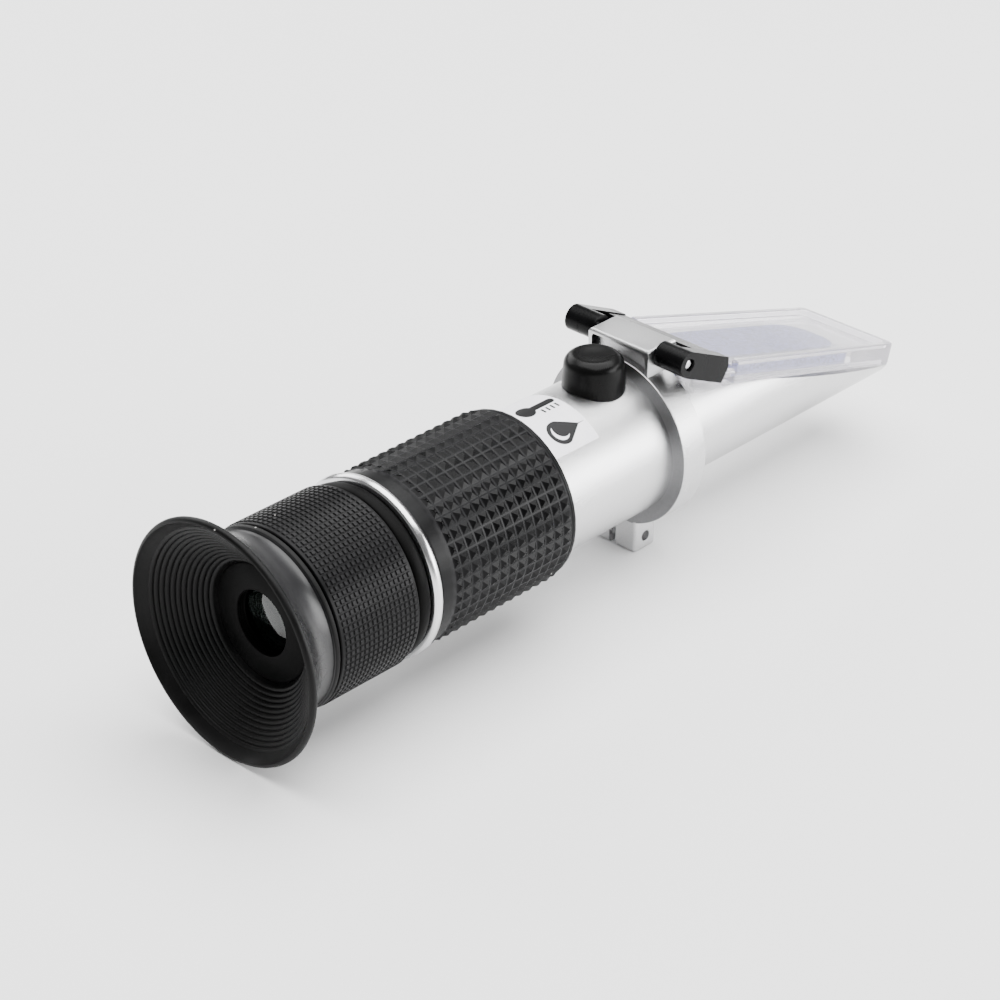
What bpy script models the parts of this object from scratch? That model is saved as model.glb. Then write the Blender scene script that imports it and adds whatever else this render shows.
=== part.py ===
"""A handheld refractometer with automatic temperature compensation, built as an assembly.

Stations run forward along the optical axis, in millimetres from the eyecup's rim. Across the tube,
y is to the left and z is up, both measured from the optical axis. `place` turns those into world
metres: +X is forward, +Z is up, and the origin is under the middle of the length, on the surface
that the eyecup and the clamp lug rest on.
"""

import math

import bmesh
import bpy
from mathutils import Matrix, Vector

# Driving dimensions, in millimetres.
LENGTH = 160.0
AXIS_HEIGHT = 21.4
GAP = 0.3
TUBE_RADIUS = 13.5
TUBE_BORE = 12.0
TUBE_FRONT = 99.2
PRISM_BODY_RADIUS = 11.7
PRISM_BODY_END = 160.0
RIM_RADIUS = AXIS_HEIGHT
SLEEVE_RADIUS = 16.25
GRIP_RADIUS = 16.07
BAND_RADIUS = 15.6
RING_RADIUS = 16.4
CLAMP_RADIUS = 16.1

# Stations along the tube.
NOSE = 8.9
CUP_REAR = 11.1
SLEEVE_FRONT = 28.6
BEAD_FRONT = 31.8
GRIP_FROM, GRIP_TO = 34.0, 66.0
CLAMP_FROM, CLAMP_TO = 93.0, 99.0
CALIBRATION = 87.0
LABEL_FROM, LABEL_TO = 66.6, 78.2

# The eyepiece barrel, which screws into the tube.
BARREL_RADIUS = 11.2
BARREL_BORE = 11.5
BARREL_END = 43.7
LENS_RADIUS = 7.1
EYE_HOLE = 5.7

# The prism face and the daylight plate lie on one slope.
SLOPE = math.radians(17.0)
LIP_HEIGHT = -1.6
PLATE_DEPTH = 4.2
LIP_DEPTH = 1.1
FLOOR_UNDER = 3.3
CUT_DEPTH = 4.8
PRISM_PROUD = 1.1
PRISM_HALF_WIDTH = 6.8
PRISM_REAR, PRISM_FRONT = 114.0, 150.0
PRISM_BOTTOM = -7.2
WINDOW_HALF_WIDTH = 6.4

# The cover's hinge.
PIN_STATION, PIN_HEIGHT = 96.6, 18.2
PIN_RADIUS = 1.0
BARREL_HINGE_RADIUS = 2.4
BLOCK_HALF_WIDTH = 6.9
FRAME_HALF_WIDTH = 13.5
ARM_INNER = 10.5

# The sprung strip that carries the objective.
STRIP_ROOT = 60.5
STRIP_UNDER, STRIP_TOP = 6.7, 7.2
CELL_SCREW = 82.0

# Angles round the tube, in degrees from the top towards the right.
LABEL_ANGLES = (-62.0, 43.7)
SET_SCREW_STATION = 97.2
SET_SCREW_ANGLES = (65, 185, 305)

# Facets in a full turn.
COARSE, MIDDLE, FINE = 36, 24, 16

AXIS_TURNS = {
    "X": Matrix.Identity(3),
    "Y": Matrix.Rotation(math.pi / 2, 3, "Z"),
    "Z": Matrix.Rotation(-math.pi / 2, 3, "Y"),
}
ORIGIN = Vector((0, 0, 0))


def clear_scene():
    for obj in list(bpy.data.objects):
        bpy.data.objects.remove(obj, do_unlink=True)


def world(point):
    """The world place, in metres, of a point given as station, y and z in millimetres."""
    station, y, z = point
    return Vector((station - LENGTH / 2, y, z + AXIS_HEIGHT)) / 1000


def material(name, colour, roughness, metallic=0.0, alpha=1.0):
    made = bpy.data.materials.new(name)
    made.use_nodes = True
    shader = made.node_tree.nodes["Principled BSDF"]
    shader.inputs["Base Color"].default_value = (*colour, 1.0)
    shader.inputs["Roughness"].default_value = roughness
    shader.inputs["Metallic"].default_value = metallic
    shader.inputs["Alpha"].default_value = alpha
    return made


def pivot(name, point):
    """An empty on a joint's axis. The pieces that turn or slide about it are its children."""
    made = bpy.data.objects.new(name, None)
    made.location = world(point)
    made.empty_display_size = 0.005
    bpy.context.scene.collection.objects.link(made)
    return made


def place(name, shape, held_by, look=None):
    """Turns a shape in millimetres into an object under its pivot. With no look it is a cutter."""
    mesh = bpy.data.meshes.new(name)
    bmesh.ops.recalc_face_normals(shape, faces=shape.faces)
    shape.to_mesh(mesh)
    shape.free()
    for vertex in mesh.vertices:
        vertex.co = world(vertex.co) - held_by.location
    made = bpy.data.objects.new(name, mesh)
    bpy.context.scene.collection.objects.link(made)
    made.parent = held_by
    if look is None:
        made.hide_render = True
        made.display_type = "WIRE"
    else:
        mesh.materials.append(look)
        mesh.shade_smooth()
        mesh.set_sharp_from_angle(angle=math.radians(30))
    return made


def combine(target, operation, name, shape):
    """Joins a shape to the target, or cuts it from the target, with a live Boolean."""
    tool = place(f"{target.name}_{name}", shape, target.parent)
    modifier = target.modifiers.new(name, "BOOLEAN")
    modifier.operation = operation
    modifier.object = tool
    modifier.solver = "EXACT"


def cut(target, name, shape):
    combine(target, "DIFFERENCE", name, shape)


def join(target, name, shape):
    combine(target, "UNION", name, shape)


def turned(profile, facets=COARSE, along="X", at=(0, 0, 0)):
    """Turns (distance, radius) points about an axis. A profile that leaves the axis is a ring's."""
    shape = bmesh.new()
    corners = [shape.verts.new((distance, 0, radius)) for distance, radius in profile]
    edges = [shape.edges.new(pair) for pair in zip(corners, corners[1:])]
    if profile[0][1] > 0:
        edges.append(shape.edges.new((corners[-1], corners[0])))
    bmesh.ops.spin(
        shape,
        geom=corners + edges,
        cent=ORIGIN,
        axis=(1, 0, 0),
        angle=2 * math.pi,
        steps=facets,
        use_merge=True,
    )
    bmesh.ops.remove_doubles(shape, verts=shape.verts, dist=1e-4)
    turn = Matrix.Translation(at) @ AXIS_TURNS[along].to_4x4()
    bmesh.ops.transform(shape, matrix=turn, verts=shape.verts)
    return shape


def rod(start, end, radius, along="X", at=(0, 0, 0), facets=FINE):
    return turned([(start, 0), (start, radius), (end, radius), (end, 0)], facets, along, at)


def ring(start, end, inner, outer, facets=MIDDLE):
    return turned([(start, inner), (start, outer), (end, outer), (end, inner)], facets)


def o_ring(station, centre_radius, section_radius, facets=COARSE, sides=8):
    """A round-section ring about the tube's axis."""
    angles = [2 * math.pi * (side + 0.5) / sides for side in range(sides)]
    return turned(
        [
            (station + section_radius * math.cos(a), centre_radius + section_radius * math.sin(a))
            for a in angles
        ],
        facets,
    )


def extruded(outline, low, high, along="Y"):
    """Extrudes an outline. Along Y it holds (station, z) points, and along Z it holds (station, y)."""
    shape = bmesh.new()
    if along == "Y":
        corners = [shape.verts.new((a, low, b)) for a, b in outline]
        step = (0, high - low, 0)
    else:
        corners = [shape.verts.new((a, b, low)) for a, b in outline]
        step = (0, 0, high - low)
    face = shape.faces.new(corners)
    grown = bmesh.ops.extrude_face_region(shape, geom=[face])["geom"]
    moved = [part for part in grown if isinstance(part, bmesh.types.BMVert)]
    bmesh.ops.translate(shape, vec=step, verts=moved)
    return shape


def block(low, high):
    """A box between two corners, each given as station, y and z."""
    shape = bmesh.new()
    size = Vector(high) - Vector(low)
    middle = (Vector(high) + Vector(low)) / 2
    matrix = Matrix.Translation(middle) @ Matrix.Diagonal((*size, 1.0))
    bmesh.ops.create_cube(shape, size=1.0, matrix=matrix)
    return shape


def softened(shape, width, segments=1, chosen=lambda edge: True):
    """Bevels the chosen edges of a shape."""
    edges = [edge for edge in shape.edges if chosen(edge)]
    bmesh.ops.bevel(
        shape, geom=edges, offset=width, segments=segments, profile=0.5, affect="EDGES"
    )
    return shape


def on_slope(shape):
    """Takes a shape from the slope's own frame, where x runs down the slope and z out of it.

    The frame's origin is at the middle of the daylight plate's far edge, level with its lip.
    """
    matrix = Matrix.Translation((LENGTH, 0, LIP_HEIGHT)) @ Matrix.Rotation(SLOPE, 4, "Y")
    bmesh.ops.transform(shape, matrix=matrix, verts=shape.verts)
    return shape


def along_slope(station):
    """The slope's own x at a station, on the plane of the lip."""
    return (station - LENGTH) / math.cos(SLOPE)


def slope_height(station, depth):
    """The height at a station of the plane that lies `depth` under the plate's lip."""
    return LIP_HEIGHT + (LENGTH - station) * math.tan(SLOPE) - depth / math.cos(SLOPE)


def arc(centre, radius, start, end, steps):
    """Points on an arc, from one angle in degrees to another."""
    angles = [math.radians(start + (end - start) * i / steps) for i in range(steps + 1)]
    return [(centre[0] + radius * math.cos(a), centre[1] + radius * math.sin(a)) for a in angles]


def lens_surface(vertex, edge, radius, steps=5):
    """A shallow curved face, from the vertex on the axis out to the edge."""
    reach = [radius * (i / steps) for i in range(steps + 1)]
    return [(vertex + (edge - vertex) * (r / radius) ** 2, r) for r in reach]


# The eyepiece, which turns and travels as one.


def add_eyecup(held_by, look):
    """A flared soft cup. Its neck snaps over the lip of the housing's nose."""
    rim = arc((0.9, RIM_RADIUS - 0.9), 0.9, 180, 20, 4)
    flare = [(2.6, 19.5), (3.8, 18.2), (5.2, 17.0), (6.8, 16.1), (8.4, 15.6), (9.9, 15.5)]
    collar = [(10.2, 16.05), (CUP_REAR, 16.05)]
    neck = [(CUP_REAR, 10.25), (9.8, 10.25), (9.8, 10.75), (NOSE - 0.2, 10.8)]
    lip = [(1.8, 19.2), (0.6, 20.2)]
    place("eyecup", turned(rim + flare + collar + neck + lip), held_by, look)


def add_eyepiece_housing(held_by, look):
    """The lens barrel: nose, hub under the knurled sleeve, bead, and the tail that screws in."""
    nose = [(NOSE, EYE_HOLE), (NOSE, 10.4), (9.5, 10.4), (9.5, 9.9), (CUP_REAR + GAP, 9.9)]
    hub = [(CUP_REAR + GAP, 14.0), (SLEEVE_FRONT + GAP, 14.0), (SLEEVE_FRONT + GAP, 14.7)]
    bead = [(29.8, 14.7), (30.1, 15.3), (30.7, 15.5), (31.3, 15.4), (BEAD_FRONT, 14.9)]
    tail = [(BEAD_FRONT, BARREL_RADIUS), (39.3, BARREL_RADIUS), (39.3, 10.1), (40.9, 10.1)]
    tail += [(40.9, BARREL_RADIUS), (BARREL_END, BARREL_RADIUS)]
    lens_bore = LENS_RADIUS + GAP
    bore = [(BARREL_END, 9.2), (26.5, 9.2), (26.5, lens_bore), (10.6, lens_bore), (10.6, EYE_HOLE)]
    place("eyepiece_housing", turned(nose + hub + bead + tail + bore), held_by, look)


def add_focus_sleeve(held_by, look):
    """The knurled sleeve that the fingers turn."""
    start = CUP_REAR + GAP + 0.1
    profile = [(start, 14.3), (start, SLEEVE_RADIUS - 0.3), (start + 0.3, SLEEVE_RADIUS)]
    profile += [(SLEEVE_FRONT - 0.3, SLEEVE_RADIUS), (SLEEVE_FRONT, SLEEVE_RADIUS - 0.3)]
    profile.append((SLEEVE_FRONT, 14.3))
    place("focus_sleeve", turned(profile), held_by, look)


def add_eyepiece_lenses(held_by, glass, black):
    front = lens_surface(11.0, 12.2, LENS_RADIUS)
    back = lens_surface(15.1, 13.9, LENS_RADIUS)[::-1]
    place("eye_lens", turned(front + back, MIDDLE), held_by, glass)
    place("lens_spacer", ring(14.6, 19.8, 5.9, LENS_RADIUS), held_by, black)
    field = lens_surface(19.5, 20.6, LENS_RADIUS) + [(22.6, LENS_RADIUS), (22.6, 0)]
    place("field_lens", turned(field, MIDDLE), held_by, glass)
    retainer = place("lens_retaining_ring", ring(22.9, 25.4, 5.4, LENS_RADIUS), held_by, black)
    cut(retainer, "spanner_slot", block((24.6, -8, -0.6), (26, 8, 0.6)))


def add_focus_o_ring(held_by, look):
    """The ring in the tail's groove. It travels with the barrel, and drags on the tube's bore."""
    place("focus_o_ring", o_ring(40.1, 10.78, 0.5), held_by, look)


# The tube and what it carries.


def add_body_tube(held_by, look):
    spigot = [(34.2, BARREL_BORE), (34.2, 12.6), (37.3, 12.6), (37.3, TUBE_RADIUS)]
    rest = [(TUBE_FRONT, TUBE_RADIUS), (TUBE_FRONT, TUBE_BORE), (46.0, TUBE_BORE)]
    tube = place("body_tube", turned(spigot + rest + [(46.0, BARREL_BORE)]), held_by, look)
    bush_hole = rod(10.0, 15.0, 3.3, "Z", (CALIBRATION, 0, 0), MIDDLE)
    cut(tube, "bush_hole", bush_hole)
    mount_hole = [(10.0, 0), (10.0, 1.3), (12.5, 1.3), (12.5, 2.2), (14.0, 2.2), (14.0, 0)]
    cut(tube, "mount_hole", turned(mount_hole, FINE, "Z", (STRIP_ROOT + 3.0, 0, 0)))
    for number, angle in enumerate(SET_SCREW_ANGLES, 1):
        cut(tube, f"set_screw_hole_{number}", radial(rod(10.0, 15.0, 1.3, "Z"), angle))


def radial(shape, angle):
    """Swings a shape that stands on +Z round the axis, and moves it to the set screws' station."""
    matrix = Matrix.Translation((SET_SCREW_STATION, 0, 0))
    matrix = matrix @ Matrix.Rotation(math.radians(angle), 4, "X")
    bmesh.ops.transform(shape, matrix=matrix, verts=shape.verts)
    return shape


def add_grip_retaining_ring(held_by, look):
    """The bright ring behind the grip. Its collar screws onto the tube's spigot."""
    flange = [(32.1, 11.6), (32.1, 16.0), (32.4, RING_RADIUS), (33.4, RING_RADIUS), (33.7, 16.1)]
    collar = [(33.7, TUBE_RADIUS), (37.0, TUBE_RADIUS), (37.0, 12.9), (33.9, 12.9), (33.9, 11.6)]
    place("grip_retaining_ring", turned(flange + collar), held_by, look)


def add_grip_sleeve(held_by, look):
    inner = TUBE_RADIUS + GAP
    rear = [(GRIP_FROM, inner), (GRIP_FROM, 15.3), (34.3, BAND_RADIUS), (36.4, BAND_RADIUS)]
    grid = [(36.6, GRIP_RADIUS), (64.6, GRIP_RADIUS), (64.8, BAND_RADIUS)]
    front = [(65.7, BAND_RADIUS), (GRIP_TO, 15.3), (GRIP_TO, inner)]
    place("grip_sleeve", turned(rear + grid + front), held_by, look)


def add_reticle(held_by, glass, black):
    """The scale disc at the eyepiece's focus, in a holder that is pushed into the tube."""
    holder = [(47.0, 8.0), (47.0, 11.7), (56.0, 11.7), (56.0, 9.8), (50.7, 9.8), (50.7, 8.0)]
    place("reticle_holder", turned(holder, COARSE), held_by, black)
    place("reticle", rod(51.0, 52.2, 9.5, facets=MIDDLE), held_by, glass)
    place("reticle_retaining_ring", ring(52.5, 54.5, 8.2, 9.5), held_by, black)


def add_stray_light_baffle(held_by, look):
    """A disc with a round aperture, notched at the top for the strip."""
    baffle = place("stray_light_baffle", ring(73.0, 74.5, 4.4, 11.7, COARSE), held_by, look)
    cut(baffle, "strip_notch", block((72, -3.8, 5.9), (75.5, 3.8, 13)))


def add_scale_label(held_by, look):
    """A thin sticker wrapped on the tube, in front of the grip."""
    start, end = LABEL_FROM, LABEL_TO
    low, high = LABEL_ANGLES
    steps = 15
    inner, outer = TUBE_RADIUS + 0.1, TUBE_RADIUS + 0.25
    shape = bmesh.new()
    rows = []
    for i in range(steps + 1):
        angle = math.radians(low + (high - low) * i / steps)
        across, up = -math.sin(angle), math.cos(angle)
        corners = ((start, inner), (start, outer), (end, outer), (end, inner))
        rows.append([shape.verts.new((s, r * across, r * up)) for s, r in corners])
    for near, far in zip(rows, rows[1:]):
        for a in range(4):
            b = (a + 1) % 4
            shape.faces.new((near[a], near[b], far[b], far[a]))
    shape.faces.new(rows[0])
    shape.faces.new(rows[-1][::-1])
    place("scale_label", shape, held_by, look)


# The compensating strip and the objective on its end.


def add_strip_mount(held_by, metal, steel):
    """The block that hangs the strip from the tube wall, with the screw that holds it there."""
    outline = [(56.5, 7.5), (66.5, 7.5), (66.5, 10.6), (56.5, 10.6)]
    mount = place("strip_mount", extruded(outline, -3.6, 3.6), held_by, metal)
    cut(mount, "top_thread", rod(8.6, 12, 1.3, "Z", (STRIP_ROOT + 3.0, 0, 0)))
    cut(mount, "under_thread", rod(7, 9.8, 1.3, "Z", (STRIP_ROOT, 0, 0)))
    profile = [(8.9, 0), (8.9, 1.0), (12.8, 1.0), (12.8, 1.9), (13.35, 1.9), (13.35, 0)]
    screw = turned(profile, FINE, "Z", (STRIP_ROOT + 3.0, 0, 0))
    screw = place("strip_mount_screw", screw, held_by, steel)
    cut(screw, "slot", block((STRIP_ROOT, -0.3, 13.05), (STRIP_ROOT + 6, 0.3, 14)))


def add_strip_screw(held_by, look):
    profile = [(5.2, 0), (5.2, 1.9), (6.4, 1.9), (6.4, 1.0), (9.5, 1.0), (9.5, 0)]
    screw = place("strip_screw", turned(profile, FINE, "Z", (STRIP_ROOT, 0, 0)), held_by, look)
    cut(screw, "slot", block((STRIP_ROOT - 3, -0.3, 5), (STRIP_ROOT + 3, 0.3, 5.7)))


def add_bimetal_strip(held_by, look):
    """A leaf of two bonded metals. It bends with temperature, and springs against the screw."""
    strip = block((57.0, -3.0, STRIP_UNDER), (90.0, 3.0, STRIP_TOP))
    strip = place("bimetal_strip", strip, held_by, look)
    for name, station in (("root_hole", STRIP_ROOT), ("cell_hole", CELL_SCREW)):
        cut(strip, name, rod(6, 8, 1.3, "Z", (station, 0, 0)))


def add_objective(held_by, black, glass, steel):
    """The objective in its cell, hung under the strip's free end."""
    profile = [(80.0, 4.4), (80.0, 6.0), (90.0, 6.0), (90.0, 5.2), (84.2, 5.2), (84.2, 4.4)]
    cell = place("objective_cell", turned(profile, MIDDLE), held_by, black)
    join(cell, "pad", block((80.0, -3.2, 5.35), (90.0, 3.2, 6.4)))
    cut(cell, "screw_hole", rod(5.3, 7, 1.1, "Z", (CELL_SCREW, 0, 0)))
    front, back = lens_surface(84.3, 84.8, 4.9), lens_surface(88.0, 86.9, 4.9)[::-1]
    place("objective_lens", turned(front + back, MIDDLE), held_by, glass)
    place("objective_retaining_ring", ring(87.8, 89.4, 4.0, 4.9), held_by, black)
    profile = [(5.6, 0), (5.6, 0.8), (7.5, 0.8), (7.5, 1.5), (8.3, 1.5), (8.3, 0)]
    screw = turned(profile, FINE, "Z", (CELL_SCREW, 0, 0))
    screw = place("cell_screw", screw, held_by, steel)
    cut(screw, "slot", block((CELL_SCREW - 2, -0.25, 7.95), (CELL_SCREW + 2, 0.25, 9)))


# Calibration, from the top of the tube.


def add_calibration_bush(held_by, look):
    """The threaded bush in the tube wall. Its collar bears on the inside of the wall."""
    profile = [(9.8, 1.5), (9.8, 4.2), (10.8, 4.2), (10.8, 3.0), (15.2, 3.0), (15.2, 1.5)]
    bush = turned(profile, MIDDLE, "Z", (CALIBRATION, 0, 0))
    place("calibration_bush", bush, held_by, look)


def add_calibration_screw(held_by, look):
    screw = turned(
        [(9.2, 0), (9.2, 0.9), (9.5, 1.2), (16.1, 1.2), (16.4, 0.9), (16.4, 0)],
        FINE,
        "Z",
        (CALIBRATION, 0, 0),
    )
    screw = place("calibration_screw", screw, held_by, look)
    cut(screw, "slot", block((CALIBRATION - 2, -0.3, 15.6), (CALIBRATION + 2, 0.3, 17)))


def add_calibration_pusher(held_by, look):
    """A pad between the turning screw and the strip. It travels, but doesn't turn."""
    profile = [(7.5, 0), (7.5, 2.2), (7.9, 2.6), (8.6, 2.6), (8.9, 2.3), (8.9, 0)]
    pad = turned(profile, MIDDLE, "Z", (CALIBRATION, 0, 0))
    place("calibration_pusher", pad, held_by, look)


def add_calibration_cap(held_by, look):
    """A thick soft cap with a dished top. Its foot is hollowed to sit on the tube."""
    outside = [(17.0, 0), (17.0, 3.4), (11.0, 3.4), (11.0, 5.6), (15.2, 5.55), (17.4, 5.2)]
    top = [(18.5, 4.8), (19.1, 4.0), (19.2, 3.3), (19.1, 2.6), (19.0, 0)]
    cap = turned(outside + top, MIDDLE, "Z", (CALIBRATION, 0, 0))
    cap = place("calibration_cap", cap, held_by, look)
    cut(cap, "tube_seat", rod(70, 100, TUBE_RADIUS + GAP, facets=COARSE))


# The clamp ring, its hinge block and its pinch lugs.


def add_clamp_ring(held_by, look):
    """One casting: the hinge block, hollow behind, on top of a ring with split lugs below."""
    inner, edge, width = TUBE_RADIUS + GAP, CLAMP_RADIUS - 0.3, BLOCK_HALF_WIDTH
    hinge_block = block((CLAMP_FROM + 0.2, -width, 14.4), (100.5, width, 19.6))
    hinge_block = softened(hinge_block, 0.5, 2, is_upper_edge)
    clamp = place("clamp_ring", hinge_block, held_by, look)
    cut(clamp, "rear_hollow", block((CLAMP_FROM - 1, 0.8 - width, 13), (94.6, width - 0.8, 18.7)))
    rear = [(CLAMP_FROM, inner), (CLAMP_FROM, edge), (CLAMP_FROM + 0.3, CLAMP_RADIUS)]
    front = [(CLAMP_TO - 0.3, CLAMP_RADIUS), (CLAMP_TO, edge), (CLAMP_TO, inner)]
    join(clamp, "ring", turned(rear + front))
    lug = block((CLAMP_FROM, -5.4, -AXIS_HEIGHT), (98.5, 5.4, -14.6))
    join(clamp, "lug", softened(lug, 0.4, 1, is_upright_edge))
    cut(clamp, "split", block((92, -0.75, -22.5), (100, 0.75, -13)))
    screw_at = (95.8, 0, -18.7)
    cut(clamp, "screw_hole", rod(-7, 7, 1.25, "Y", screw_at))
    cut(clamp, "head_recess", rod(3.4, 7, 2.2, "Y", screw_at))
    pin_at = (PIN_STATION, 0, PIN_HEIGHT)
    cut(clamp, "pin_bore", rod(-9, 9, PIN_RADIUS + GAP, "Y", pin_at))


def is_upper_edge(edge):
    return all(vertex.co.z > 16 for vertex in edge.verts)


def is_upright_edge(edge):
    low, high = (vertex.co for vertex in edge.verts)
    return abs(low.z - high.z) > 1


def add_clamp_screw(held_by, look):
    profile = [(-4.9, 0), (-4.9, 0.95), (3.7, 0.95), (3.7, 1.9), (5.3, 1.9), (5.3, 0)]
    screw = place("clamp_screw", turned(profile, FINE, "Y", (95.8, 0, -18.7)), held_by, look)
    cut(screw, "slot", block((93, 4.7, -19.0), (99, 6, -18.4)))


def add_hinge_pin(held_by, look):
    pin = rod(-13.2, 13.2, PIN_RADIUS, "Y", (PIN_STATION, 0, PIN_HEIGHT))
    place("hinge_pin", pin, held_by, look)


# The prism housing.


def add_prism_body(held_by, look):
    """A round bar, sliced down the slope, bored from behind and pocketed for the prism."""
    radius = PRISM_BODY_RADIUS
    light_way = [(PRISM_REAR + 1, 0), (PRISM_REAR + 1, 6.3), (101.0, 6.3), (101.0, 9.4)]
    neck = light_way + [(92.3, 9.4), (92.3, radius), (93.4, radius)]
    bar = [(93.4, 10.7), (95.0, 10.7), (95.0, radius), (PRISM_BODY_END, radius)]
    body = place("prism_body", turned(neck + bar + [(PRISM_BODY_END, 0)]), held_by, look)
    cut(body, "slice", on_slope(block((-90, -15, -CUT_DEPTH), (10, 15, 30))))
    side = PRISM_HALF_WIDTH + GAP
    rear, front = PRISM_REAR - GAP, PRISM_FRONT + GAP
    pocket = block((rear, -side, PRISM_BOTTOM - GAP), (front, side, 20))
    cut(body, "prism_pocket", pocket)
    seat_from, seat_to = along_slope(PRISM_REAR - 2.1), along_slope(PRISM_FRONT + 0.9)
    seat = block((seat_from, -8.5, -CUT_DEPTH - 1.2), (seat_to, 8.5, 1))
    cut(body, "gasket_seat", on_slope(seat))
    for number, angle in enumerate(SET_SCREW_ANGLES, 1):
        cut(body, f"set_screw_dimple_{number}", radial(rod(10.1, 14, 1.3, "Z"), angle))


def add_prism_set_screws(held_by, look):
    """Three socket set screws under the clamp ring, which hold the prism body in the tube."""
    for number, angle in enumerate(SET_SCREW_ANGLES, 1):
        screw = radial(rod(10.4, 13.2, 1.0, "Z"), angle)
        screw = place(f"prism_set_screw_{number}", screw, held_by, look)
        cut(screw, "socket", radial(rod(12.2, 14, 0.5, "Z", facets=6), angle))


def add_front_o_ring(held_by, look):
    place("front_o_ring", o_ring(94.2, 11.35, 0.5), held_by, look)


def add_main_prism(held_by, look):
    """The measuring prism: its top is the sample face, and its rear face looks down the tube."""
    depth = CUT_DEPTH - PRISM_PROUD
    top = [(PRISM_REAR, slope_height(PRISM_REAR, depth))]
    top.append((PRISM_FRONT, slope_height(PRISM_FRONT, depth)))
    nose = [(PRISM_FRONT, PRISM_BOTTOM + 2.0), (PRISM_FRONT - 2.0, PRISM_BOTTOM)]
    outline = top + nose + [(PRISM_REAR, PRISM_BOTTOM)]
    prism = extruded(outline, -PRISM_HALF_WIDTH, PRISM_HALF_WIDTH)
    place("main_prism", prism, held_by, look)


def add_prism_gasket(held_by, look):
    """The soft frame that seals the prism into its pocket."""
    low, high = -CUT_DEPTH - 0.9, -CUT_DEPTH + 0.2
    start, end = along_slope(PRISM_REAR - 1.7), along_slope(PRISM_FRONT + 0.5)
    gasket = on_slope(block((start, -8.2, low), (end, 8.2, high)))
    gasket = place("prism_gasket", gasket, held_by, look)
    side = PRISM_HALF_WIDTH + GAP
    window = block((PRISM_REAR - GAP, -side, -20), (PRISM_FRONT + GAP, side, 20))
    cut(gasket, "window", window)


# The cover: the hinge frame, the clear plate and its frosted window.


def add_hinge_frame(held_by, look):
    """Two arms on barrels, joined ahead of the hinge block by a bar that holds the plate."""
    centre = (PIN_STATION, PIN_HEIGHT)
    radius = BARREL_HINGE_RADIUS
    end = [(107.1, 15.9), (107.1, 13.9), (105.5, 11.6)]
    arm = arc(centre, radius, 65, 245, 8) + end[::-1]
    inner, outer = ARM_INNER, FRAME_HALF_WIDTH
    frame = place("hinge_frame", extruded(arm, -outer, -inner), held_by, look)
    join(frame, "left_arm", extruded(arm, inner, outer))
    bar = [(101.8, 18.2), (106.9, 15.8), (106.9, 12.2), (101.8, 14.6)]
    join(frame, "bar", extruded(bar, -inner - 0.5, inner + 0.5))
    barrel_from = BLOCK_HALF_WIDTH + GAP
    at = (centre[0], 0, centre[1])
    for name, low, high in (("left", barrel_from, inner + 0.5), ("right", -inner - 0.5, -barrel_from)):
        join(frame, f"{name}_barrel", rod(low, high, radius - 0.02, "Y", at))
    cut(frame, "pin_bore", rod(-16, 16, PIN_RADIUS + 0.15, "Y", at))
    slot = block((along_slope(104.5), -7.6, -3.45), (along_slope(109), 7.6, -1.55))
    cut(frame, "tongue_slot", on_slope(slot))


def plate_outline():
    """The plate from above, in the slope's frame: shoulders behind, a slight taper, cut corners."""
    rear, shoulder = along_slope(107.6), along_slope(111.0)
    half = [(rear, 10.0), (shoulder, 10.0), (shoulder, 12.65), (-1.5, 11.15), (0, 9.8)]
    return half + [(x, -y) for x, y in half[::-1]]


def inset_outline(lip):
    """The recess inside the plate's raised lip."""
    rear = along_slope(109.0)
    shoulder = along_slope(112.4)
    half = [(rear, 9.0), (shoulder, 9.0 + lip), (-1.5 - lip, 11.1 - lip), (-lip, 9.6 - lip)]
    return half + [(x, -y) for x, y in half[::-1]]


def window_outline(grow=0.0):
    """The frosted window: a tongue with a round far end."""
    rear, tip = along_slope(114.5) - grow, along_slope(150.0)
    width = WINDOW_HALF_WIDTH + grow
    round_end = arc((tip - 5.0, 0), 1.0, -90, 90, 10)
    squash = [(tip - 5.0 + (x - tip + 5.0) * (5.0 + grow), y * width) for x, y in round_end]
    return [(rear, -width)] + squash + [(rear, width)]


def add_daylight_plate(held_by, look):
    """The clear plate: a lip round its top, a skirt below, a rear tongue and two short stubs."""
    plate = on_slope(extruded(plate_outline(), -PLATE_DEPTH, 0, "Z"))
    plate = place("daylight_plate", plate, held_by, look)
    cut(plate, "top_recess", on_slope(extruded(inset_outline(1.3), -LIP_DEPTH, 1, "Z")))
    under = block((along_slope(112.0), -9.4, -6), (-2.0, 9.4, -FLOOR_UNDER))
    cut(plate, "under_recess", on_slope(under))
    pocket = extruded(window_outline(GAP), -FLOOR_UNDER - 0.5, -FLOOR_UNDER + 1.05, "Z")
    cut(plate, "window_pocket", on_slope(pocket))
    tongue = block((along_slope(105.2), -7.2, -3.1), (along_slope(108.2), 7.2, -1.9))
    join(plate, "tongue", on_slope(tongue))
    for name, side in (("left", 1), ("right", -1)):
        at = (0, side * 11.7, -2.4)
        stub = rod(along_slope(107.9), along_slope(111.6), 0.8, "X", at)
        join(plate, f"{name}_stub", on_slope(stub))


def add_diffuser_window(held_by, look):
    window = extruded(window_outline(), -FLOOR_UNDER, -FLOOR_UNDER + 0.75, "Z")
    place("diffuser_window", on_slope(window), held_by, look)


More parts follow.
